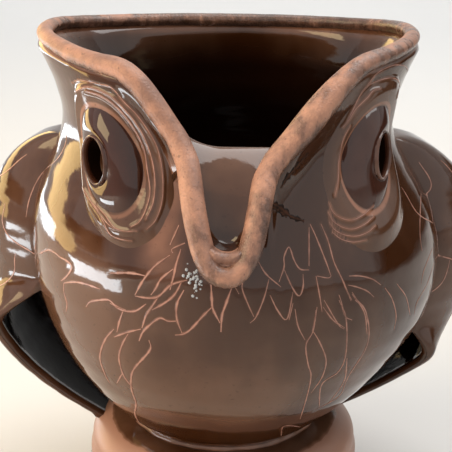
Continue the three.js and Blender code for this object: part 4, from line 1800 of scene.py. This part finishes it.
RIGHT_BREAST = (
    ((234, 285), (239, 294)),
    ((246, 276), (242, 287), (248, 304), (254, 317)),
    ((269, 279), (264, 298), (256, 317), (250, 323)),
    ((258, 261), (266, 274), (281, 287)),
    ((279, 282), (284, 267), (284, 257), (289, 247), (294, 260), (300, 269), (309, 270)),
    ((284, 269), (292, 287), (299, 296), (303, 287), (303, 274)),
    ((309, 227), (309, 266)),
    ((310, 224), (316, 237), (326, 262), (331, 276)),
    ((321, 224), (328, 241), (334, 262), (342, 279), (349, 295), (352, 300)),
    ((270, 295), (278, 311), (287, 319), (293, 292)),
    ((316, 276), (320, 298), (322, 312)),
    ((317, 276), (328, 278), (331, 276)),
    ((339, 295), (341, 301), (345, 316), (352, 320)),
    ((317, 307), (315, 320), (312, 331)),
    ((323, 307), (333, 320), (345, 328)),
    ((352, 294), (364, 312), (367, 334)),
    ((293, 303), (289, 320)),
    ((295, 309), (298, 326), (305, 340)),
    ((316, 310), (313, 331), (306, 345), (308, 364), (311, 376), (307, 396), (300, 419)),
    ((313, 331), (320, 343), (326, 360), (322, 377), (311, 393)),
    ((324, 300), (338, 324), (344, 329)),
    ((339, 300), (346, 319), (346, 352), (339, 371), (322, 384), (319, 407)),
    ((355, 300), (365, 310), (369, 331), (365, 350), (348, 377), (339, 396), (315, 410)),
    ((347, 358), (344, 381), (329, 403)),
    ((303, 427), (284, 426), (281, 436)),
    ((349, 276), (360, 276), (372, 279), (381, 285)),
    ((348, 285), (357, 287), (367, 291), (374, 297)),
    ((352, 292), (357, 300), (364, 308), (367, 319), (366, 329)),
    ((340, 274), (351, 301)),
    ((385, 288), (392, 299), (396, 315), (394, 330)),
    ((397, 284), (406, 297), (410, 315)),
)

LEFT_EYE_LINES = (
    ((86, 91), (99, 95), (112, 103), (125, 116), (136, 132), (144, 149), (147, 168), (150, 190),
     (147, 206), (140, 221), (131, 227)),
    ((72, 83), (79, 80), (86, 81), (99, 84), (112, 88), (125, 103), (136, 114), (147, 129),
     (157, 147), (162, 168), (163, 190), (161, 206), (155, 221), (147, 229)),
    ((74, 92), (86, 87), (99, 90), (112, 97), (124, 109), (135, 122), (145, 139), (152, 160),
     (155, 182), (153, 203), (146, 219)),
    ((90, 200), (97, 209), (103, 221), (110, 234), (120, 239), (132, 241)),
    ((97, 206), (105, 215), (114, 227), (124, 231), (137, 231)),
    ((83, 188), (93, 205), (107, 223), (115, 229)),
    ((69, 62), (82, 63), (93, 69), (102, 75)),
)

RIGHT_EYE_LINES = (
    ((343, 127), (349, 120), (356, 109), (367, 98), (374, 90), (381, 89)),
    ((347, 122), (353, 110), (359, 97), (365, 88), (375, 82), (390, 78), (399, 82), (397, 97)),
    ((362, 92), (369, 83), (375, 75), (384, 69), (395, 65), (406, 67), (407, 78), (402, 101)),
    ((329, 203), (333, 212), (341, 218), (352, 220), (363, 215), (373, 206)),
    ((328, 212), (333, 221), (342, 227), (353, 229), (365, 224), (373, 217)),
    ((329, 222), (335, 230), (345, 235), (357, 236), (368, 232), (375, 226)),
    ((332, 232), (341, 239), (353, 242), (366, 240)),
    ((335, 196), (338, 180), (339, 160), (343, 140), (350, 126)),
)

WING_FRONTS = (
    ((65, 125), (66, 142), (58, 158), (44, 171), (35, 185), (29, 201), (26, 217)),
    ((421, 193), (420, 217), (420, 236), (422, 251)),
    ((434, 263), (427, 284), (417, 302), (414, 315)),
    ((433, 247), (424, 270), (421, 284)),
)

GLAZE_SKIPS = (
    ((270, 203), (276, 205), (283, 210), (290, 216), (297, 219)),
    ((273, 207), (281, 212), (287, 217)),
    ((291, 216), (298, 219), (304, 221)),
    ((281, 188), (286, 179), (293, 171), (301, 162), (308, 154)),
)

BACK_ROWS = ((128, 15, 30), (112, 16, 24), (95, 18, 21), (77, 19, 20), (60, 16, 20))


@dataclass
class Feathers:
    """Lines cut through the wet clay: feathers on the breast, back and wings, and rings round the eyes."""

    carriers: list[bpy.types.Object]
    half_width: float = 0.30
    burr: float = 0.06
    depth: float = 0.3
    skip_depth: float = 0.5
    step: float = 0.6
    gap: float = 4.0
    taper: float = 4.0
    off: float = 0.03
    froth_place: tuple[float, float] = (196.0, 280.0)
    froth_spread: tuple[float, float] = (5.0, 8.0)
    froth_sizes: Span = (0.10, 0.62)
    froth_flatness: float = 0.55
    froth_facing: float = 0.25
    froth_count: int = 60
    trees: list[BVHTree] = field(init=False)

    def __post_init__(self) -> None:
        """Prepares the surfaces that the lines are cut into."""
        self.trees = [self._tree(piece) for piece in self.carriers]

    @staticmethod
    def _tree(piece: bpy.types.Object) -> BVHTree:
        """Search tree of a piece's faces, in metres."""
        mesh = piece.data
        return BVHTree.FromPolygons([v.co for v in mesh.vertices], [p.vertices for p in mesh.polygons])

    def hit(self, start: np.ndarray, way: np.ndarray) -> Optional[tuple[np.ndarray, np.ndarray]]:
        """The first clay that a straight line meets.

        Args:
            start: Where the line starts, in millimetres.
            way: Its direction.

        Returns:
            Place and outward direction there, or None where it meets nothing.
        """
        best = None
        for tree in self.trees:
            place, normal, _, far = tree.ray_cast(Vector(start * MM), Vector(way))
            if place is not None and (best is None or far < best[2]):
                best = (np.array(place) / MM, np.array(normal), far)
        return None if best is None else best[:2]

    def stroke(self, places: Sequence[Optional[tuple]], weight: float = 1.0) -> list[Path]:
        """Paths along one stroke, split where it leaves the clay.

        Args:
            places: Place and outward direction at each step, or None.
            weight: Share of the full width.

        Returns:
            The paths, thinner towards their ends.
        """
        runs, run = [], []
        for found in list(places) + [None]:
            jump = bool(run) and found is not None and np.linalg.norm(found[0] - run[-1][0]) > self.gap
            if found is None or jump:
                if len(run) > 3:
                    runs.append(run)
                run = []
            if found is not None:
                run.append(found)
        paths = []
        for run in runs:
            rows = spaced(np.hstack([np.array([p for p, _ in run]), np.array([n for _, n in run])]), self.step)
            if len(rows) < 4:
                continue
            points, out = rows[:, :3], unit(rows[:, 3:])
            ends = np.minimum(np.arange(len(rows)), np.arange(len(rows))[::-1]) * self.step
            along = np.arange(len(rows)) * self.step
            uneven = 1 + 0.18 * np.sin(1.3 * along + points[0, 0]) + 0.12 * np.sin(3.1 * along)
            girth = weight * lerp(0.45, 1.0, smoothstep(ends, 0, self.taper)) * uneven
            paths.append(Path(points + out * self.off, out, girth))
        return paths

    def seen(self, pixels: Pixels, weight: float = 1.0) -> list[Path]:
        """A stroke drawn where the picture shows it.

        Args:
            pixels: Pixels along the stroke.
            weight: Share of the full width.

        Returns:
            Its paths on the clay.
        """
        eye = np.array(VIEW.place)
        return self.stroke([self.hit(eye, VIEW.ray(p)) for p in rounded(pixels)], weight)

    def drawn(self, strokes: Sequence[Pixels], weight: float = 1.0) -> list[Path]:
        """Several strokes drawn where the picture shows them."""
        return [path for pixels in strokes for path in self.seen(pixels, weight)]

    def laid(self, places: Pixels, weight: float = 1.0) -> list[Path]:
        """A stroke drawn by angle and height on a side that the picture doesn't show.

        Args:
            places: Angles and heights along the stroke.
            weight: Share of the full width.

        Returns:
            Its paths on the clay.
        """
        found = []
        for angle, z in rounded(places):
            outside = VESSEL.place(np.float64(angle), np.float64(z), 60.0)
            inward = unit(VESSEL.place(np.float64(angle), np.float64(z)) - outside)
            found.append(self.hit(outside, inward))
        return self.stroke(found, weight)

    def press(self, paths: Sequence[Path], half_width: float, height: float, tone: float) -> None:
        """Raises soft burrs along lines and breaks the glaze thin over them.

        Args:
            paths: The lines.
            half_width: Half the width of a burr.
            height: Its height, or less than nothing for a valley.
            tone: Strength of the rust on it.
        """
        places = np.vstack([path.points for path in paths])
        low, high = places.min(axis=0) - 3, places.max(axis=0) + 3
        for number, piece in enumerate(self.carriers):
            points = corner_places(piece)
            close = np.flatnonzero(((points > low) & (points < high)).all(axis=1))
            if not len(close):
                continue
            _, far = nearest(points[close], places)
            share = 1 - smoothstep(far, 0.15 * half_width, half_width)
            normals = np.zeros(len(piece.data.vertices) * 3)
            piece.data.vertices.foreach_get("normal", normals)
            points[close] += normals.reshape(-1, 3)[close] * (height * share)[:, None]
            piece.data.vertices.foreach_set("co", (points * MM).ravel())
            piece.data.update()
            rust = read_mark(piece.data, "rust")
            rust[close] = np.maximum(rust[close], tone * share)
            mark(piece.data, "rust", rust)
            self.trees[number] = self._tree(piece)

    def blisters(self, finish: bpy.types.Material) -> bpy.types.Object:
        """Small blisters where the glaze frothed below the beak, each a flat bead half sunk in it.

        Args:
            finish: Material of the blisters, pale blue-white as painted glints.

        Returns:
            The dressed piece.
        """
        chance = np.random.default_rng(7)
        spots = np.array(self.froth_place) + chance.normal(0, 1, (self.froth_count, 2)) * self.froth_spread
        sizes = chance.uniform(*self.froth_sizes, self.froth_count) ** 1.4
        shape = bmesh.new()
        for spot, size in zip(spots, sizes):
            sight = VIEW.ray(spot)
            found = self.hit(np.array(VIEW.place), sight)
            if found is None or -sight @ found[1] < self.froth_facing:
                continue
            turn = Vector(found[1]).to_track_quat("Z", "Y").to_matrix().to_4x4()
            flat = Matrix.Diagonal((size * MM, size * MM, self.froth_flatness * size * MM, 1))
            place = Matrix.Translation(Vector(found[0] * MM)) @ turn @ flat
            bmesh.ops.create_icosphere(shape, subdivisions=3, radius=1.0, matrix=place)
        mesh = bpy.data.meshes.new("glaze_blisters")
        shape.to_mesh(mesh)
        shape.free()
        smooth(mesh)
        return settle(placed("glaze_blisters", mesh), finish, Slot.GLAZE)

    def back_rows(self) -> list[Path]:
        """Rows of pointed feathers round the sides and the back, each row set between the last.

        Returns:
            Their paths on the clay.
        """
        paths = []
        for number, (height, length, pitch) in enumerate(BACK_ROWS):
            offset = pitch / 2 * (number % 2)
            for start in np.arange(76 + offset, 285, pitch):
                lean = 2.5 * math.sin(3.1 * start + number)
                low = height - length + 1.5 * math.sin(1.7 * start)
                half = pitch * 0.42
                left = [(start - half, height), (start - half * 0.85, lerp(height, low, 0.55)), (start + lean, low)]
                right = [(start + half, height + 1), (start + half * 0.8, lerp(height, low, 0.5)), (start + lean, low)]
                paths += self.laid(left) + self.laid(right)
                if (int(start) + number) % 3 == 0:
                    paths += self.laid([(start + lean, low + 1), (start, lerp(low, height, 0.6))], 0.8)
        return paths

    def build(self, sweeper: SweptClay, finishes: Finishes) -> None:
        """All the lines, a piece for each part of the pitcher, with the places the glaze missed and the blisters,
        coloured as painted glints.

        Args:
            sweeper: The sweeping tree.
            finishes: The materials.
        """
        self.press(self.drawn(LEFT_EYE_LINES + RIGHT_EYE_LINES), 1.1, 0.27, 0.55)
        self.press(self.drawn(LEFT_BREAST + RIGHT_BREAST), 1.6, -0.10, 0.30)
        skips = self.drawn(GLAZE_SKIPS, 4.2)
        for number, skip in enumerate(skips):
            run = np.arange(len(skip.points))
            skip.girth *= 0.75 + 0.3 * np.sin(1.7 * run + number) + 0.2 * np.sin(3.1 * run + 2 * number)
        sizes = {"half_width": self.half_width, "height": 0.8 * self.burr, "depth": self.skip_depth, "sides": 8}
        settle(sweeper.sweep("glaze_skips", skips, finishes.skip, **sizes), finishes.skip, Slot.GLAZE)
        self.blisters(finishes.froth_glint)
        groups = {
            "breast_feathers_left": self.drawn(LEFT_BREAST, 1.5),
            "breast_feathers_right": self.drawn(RIGHT_BREAST, 0.9),
            "eye_rings_left": self.drawn(LEFT_EYE_LINES, 0.62),
            "eye_rings_right": self.drawn(RIGHT_EYE_LINES, 0.62),
            "wing_lines": self.drawn(WING_FRONTS, 0.9),
            "back_feathers": self.back_rows(),
        }
        sizes = {"half_width": self.half_width, "height": self.burr, "depth": self.depth, "sides": 12, "groove": 1.0}
        for name, paths in groups.items():
            settle(sweeper.sweep(name, paths, finishes.cut, **sizes), finishes.cut, Slot.GLAZE)


# The studio


def facing(place: Sequence[float], axis: str) -> Matrix:
    """Turn that points an axis from a place to the pitcher."""
    return (AIM - Vector(place)).to_track_quat(axis, "Y").to_matrix().to_4x4()


@dataclass(frozen=True)
class Lamp:
    """A soft rectangular lamp aimed at the pitcher.

    Place and size are in metres, power in watts. It is rolled by degrees about the line to the pitcher.
    """

    name: str
    place: tuple[float, float, float]
    size: Span
    power: float
    tint: tuple[float, float, float]
    roll: float = 0.0
    lights: bool = True
    mirrored: bool = True

    def build(self) -> None:
        """Hangs the lamp, which may light without being mirrored or the other way round."""
        data = bpy.data.lights.new(self.name, "AREA")
        data.shape, data.size, data.size_y = "RECTANGLE", *self.size
        data.energy, data.color = self.power, self.tint
        lamp = placed(self.name, data)
        lamp.location = self.place
        lamp.rotation_euler = (facing(self.place, "-Z") @ Matrix.Rotation(math.radians(self.roll), 4, "Z")).to_euler()
        lamp.visible_diffuse, lamp.visible_glossy = self.lights, self.mirrored


@dataclass(frozen=True)
class Flag:
    """A black card that the gloss mirrors and that throws no shadow. Place and size are in metres."""

    name: str
    place: tuple[float, float, float]
    size: Span
    clear: Span = (0.6, 0.5)

    def build(self) -> None:
        """Sets up the card, which fades towards its edges."""
        wide, tall = self.size[0] / 2, self.size[1] / 2
        mesh = bpy.data.meshes.new(self.name)
        mesh.from_pydata([(-wide, -tall, 0), (wide, -tall, 0), (wide, tall, 0), (-wide, tall, 0)], [], [(0, 1, 2, 3)])
        card = placed(self.name, mesh)
        card.matrix_world = Matrix.Translation(Vector(self.place)) @ facing(self.place, "Z")
        card.visible_camera = card.visible_diffuse = card.visible_shadow = False
        material, nodes = new_material(self.name)
        across, up = nodes.add("ShaderNodeSeparateXYZ", {0: nodes.coords()}).outputs[:2]
        far_x = nodes.spread(nodes.sums("ABSOLUTE", across), wide, self.clear[0] * wide)
        far_y = nodes.spread(nodes.sums("ABSOLUTE", up), tall, self.clear[1] * tall)
        shown = nodes.sums("MULTIPLY", far_x, far_y)
        nodes.surface({"Base Color": colour(0.01, 0.01, 0.01), "Roughness": 0.9, "Alpha": shown})
        mesh.materials.append(material)


@dataclass(frozen=True)
class Studio:
    """Pale floor, soft lamps, black cards and the camera."""

    floor_colour: Colour = colour(0.70, 0.685, 0.66)
    backdrop_colour: Colour = colour(0.91, 0.92, 0.93)
    sky: Colour = colour(1.0, 0.995, 0.985)
    reach: float = 8.0
    bend_start: float = 1.0
    bend: float = 0.6
    backdrop_height: float = 2.6
    lamps: tuple[Lamp, ...] = (
        Lamp("window_left", (-0.53, 0.35, 0.19), (0.90, 0.17), 2.6, (1.0, 0.66, 0.24), -20.0, lights=False),
        Lamp("window_edge", (-0.51, 0.40, 0.03), (0.44, 0.07), 0.8, (0.88, 0.95, 1.0), lights=False),
        Lamp("window_sill", (-0.36, -0.10, 0.014), (0.24, 0.04), 0.4, (0.88, 0.95, 1.0), lights=False),
        Lamp("soft_left", (-0.62, -0.30, 0.20), (0.5, 0.30), 2.9, (1.0, 0.92, 0.82), mirrored=False),
        Lamp("window_high", (-0.45, -0.19, 0.56), (0.40, 0.32), 2.3, (1.0, 0.76, 0.42)),
        Lamp("soft_top", (0.30, 0.30, 1.0), (0.9, 0.7), 7.5, (1.0, 0.99, 0.98)),
    )
    flags: tuple[Flag, ...] = (
        Flag("flag_left", (-0.64, -0.05, 0.175), (0.46, 0.13)),
        Flag("flag_right", (0.62, 0.22, 0.16), (0.90, 0.34)),
    )

    def build(self) -> None:
        """Floor, world, lamps, cards and camera."""
        self.floor()
        self.world()
        for item in self.lamps + self.flags:
            item.build()
        self.camera()

    def floor(self) -> None:
        """Floor with a sweep up behind."""
        bend = np.radians(np.linspace(10, 90, 9))
        back, wall = self.bend_start + self.bend * np.sin(bend), self.bend_start + self.bend
        depth = np.concatenate([np.linspace(-self.reach, self.bend_start, 3), back, [wall]])
        rise = np.concatenate([np.zeros(3), self.bend * (1 - np.cos(bend)), [self.backdrop_height]])
        corners = [(x, y, z) for y, z in zip(depth, rise) for x in (-self.reach, self.reach)]
        mesh = bpy.data.meshes.new("studio_floor")
        mesh.from_pydata(corners, [], grid_faces(len(depth), 2))
        smooth(mesh)
        mesh.materials.append(self.floor_finish())
        placed("studio_floor", mesh)

    @staticmethod
    def looked_at(nodes: Nodes, mirrored: float) -> bpy.types.NodeSocket:
        """Share of full strength for a line of sight: 1 from the camera, and less off a mirror.

        Args:
            nodes: Node layer of the material or world.
            mirrored: Share in reflections.

        Returns:
            The share.
        """
        rays = nodes.add("ShaderNodeLightPath").outputs
        direct = nodes.sums("MAXIMUM", rays["Is Camera Ray"], rays["Is Transmission Ray"])
        return nodes.sums("MAXIMUM", direct, nodes.sums("MULTIPLY", rays["Is Glossy Ray"], mirrored))

    def floor_finish(self) -> bpy.types.Material:
        """Pale cream that catches a soft shadow and whitens towards the back.

        Returns:
            The material.
        """
        material, nodes = new_material("studio_floor")
        depth = nodes.add("ShaderNodeSeparateXYZ", {0: nodes.coords()}).outputs[1]
        behind = nodes.spread(depth, 0.2, 1.4)
        tone = nodes.blend(behind, self.floor_colour, self.backdrop_colour)
        lift = nodes.sums("MULTIPLY", nodes.sums("MULTIPLY", self.looked_at(nodes, 1.0), behind), 0.03)
        glow = {"Emission Color": self.backdrop_colour, "Emission Strength": lift}
        nodes.surface({"Base Color": tone, "Roughness": 0.8, **glow})
        return material

    def world(self) -> None:
        """Pale surroundings, seen at full strength by the camera and nearly so in reflections."""
        world = bpy.data.worlds.new("studio_world")
        world.use_nodes = True
        nodes = Nodes(world.node_tree)
        strength = nodes.add("ShaderNodeMapRange", {0: self.looked_at(nodes, 0.9), 3: 0.65, 4: 1.0}).outputs[0]
        sky = nodes.add("ShaderNodeBackground", {"Color": self.sky, "Strength": strength})
        nodes.add("ShaderNodeOutputWorld", {0: sky.outputs[0]})
        bpy.context.scene.world = world

    @staticmethod
    def camera() -> None:
        """The camera at the picture's angle."""
        data = bpy.data.cameras.new("camera")
        data.sensor_width = 36.0
        data.lens = data.sensor_width * VIEW.focal / (2 * VIEW.centre)
        data.clip_start, data.clip_end = 0.01, 20.0
        camera = placed("camera", data)
        right, up, ahead = VIEW.axes()
        turn = Matrix([[right[k], up[k], -ahead[k]] for k in range(3)]).to_4x4()
        camera.matrix_world = Matrix.Translation(Vector(VIEW.place) * MM) @ turn
        bpy.context.scene.camera = camera
        bpy.context.scene.view_settings.view_transform = "Standard"


def main() -> None:
    """Builds every sub-assembly in the order that the potter joins them."""
    finishes = Finishes()
    sweeper = SweptClay()
    Studio().build()
    pedestal, beak = Pedestal(), Beak()
    foot = pedestal.build(finishes.glaze)
    pedestal.build_coil(sweeper, finishes.glaze)
    body = Body().build(finishes.glaze)
    beak.build_lip(sweeper, finishes.lip)
    trough = beak.build_trough(finishes.glaze, finishes.lip)
    carriers = [foot, body, trough]
    for eye in (Eye(Side.LEFT, -37.5, 33.0, 2.5), Eye(Side.RIGHT, 48.0, -30.0, -2.0)):
        carriers += [eye.build_collar(finishes.glaze), eye.build_dome(finishes.eye, finishes.shade_black)]
    for wing in (Wing(Side.LEFT, 80.0, 32.0), Wing(Side.RIGHT, 67.0, 36.0)):
        carriers.append(wing.build(finishes.glaze, finishes.shade_black))
    Feathers(carriers).build(sweeper, finishes)


if __name__ == "__main__":
    main()
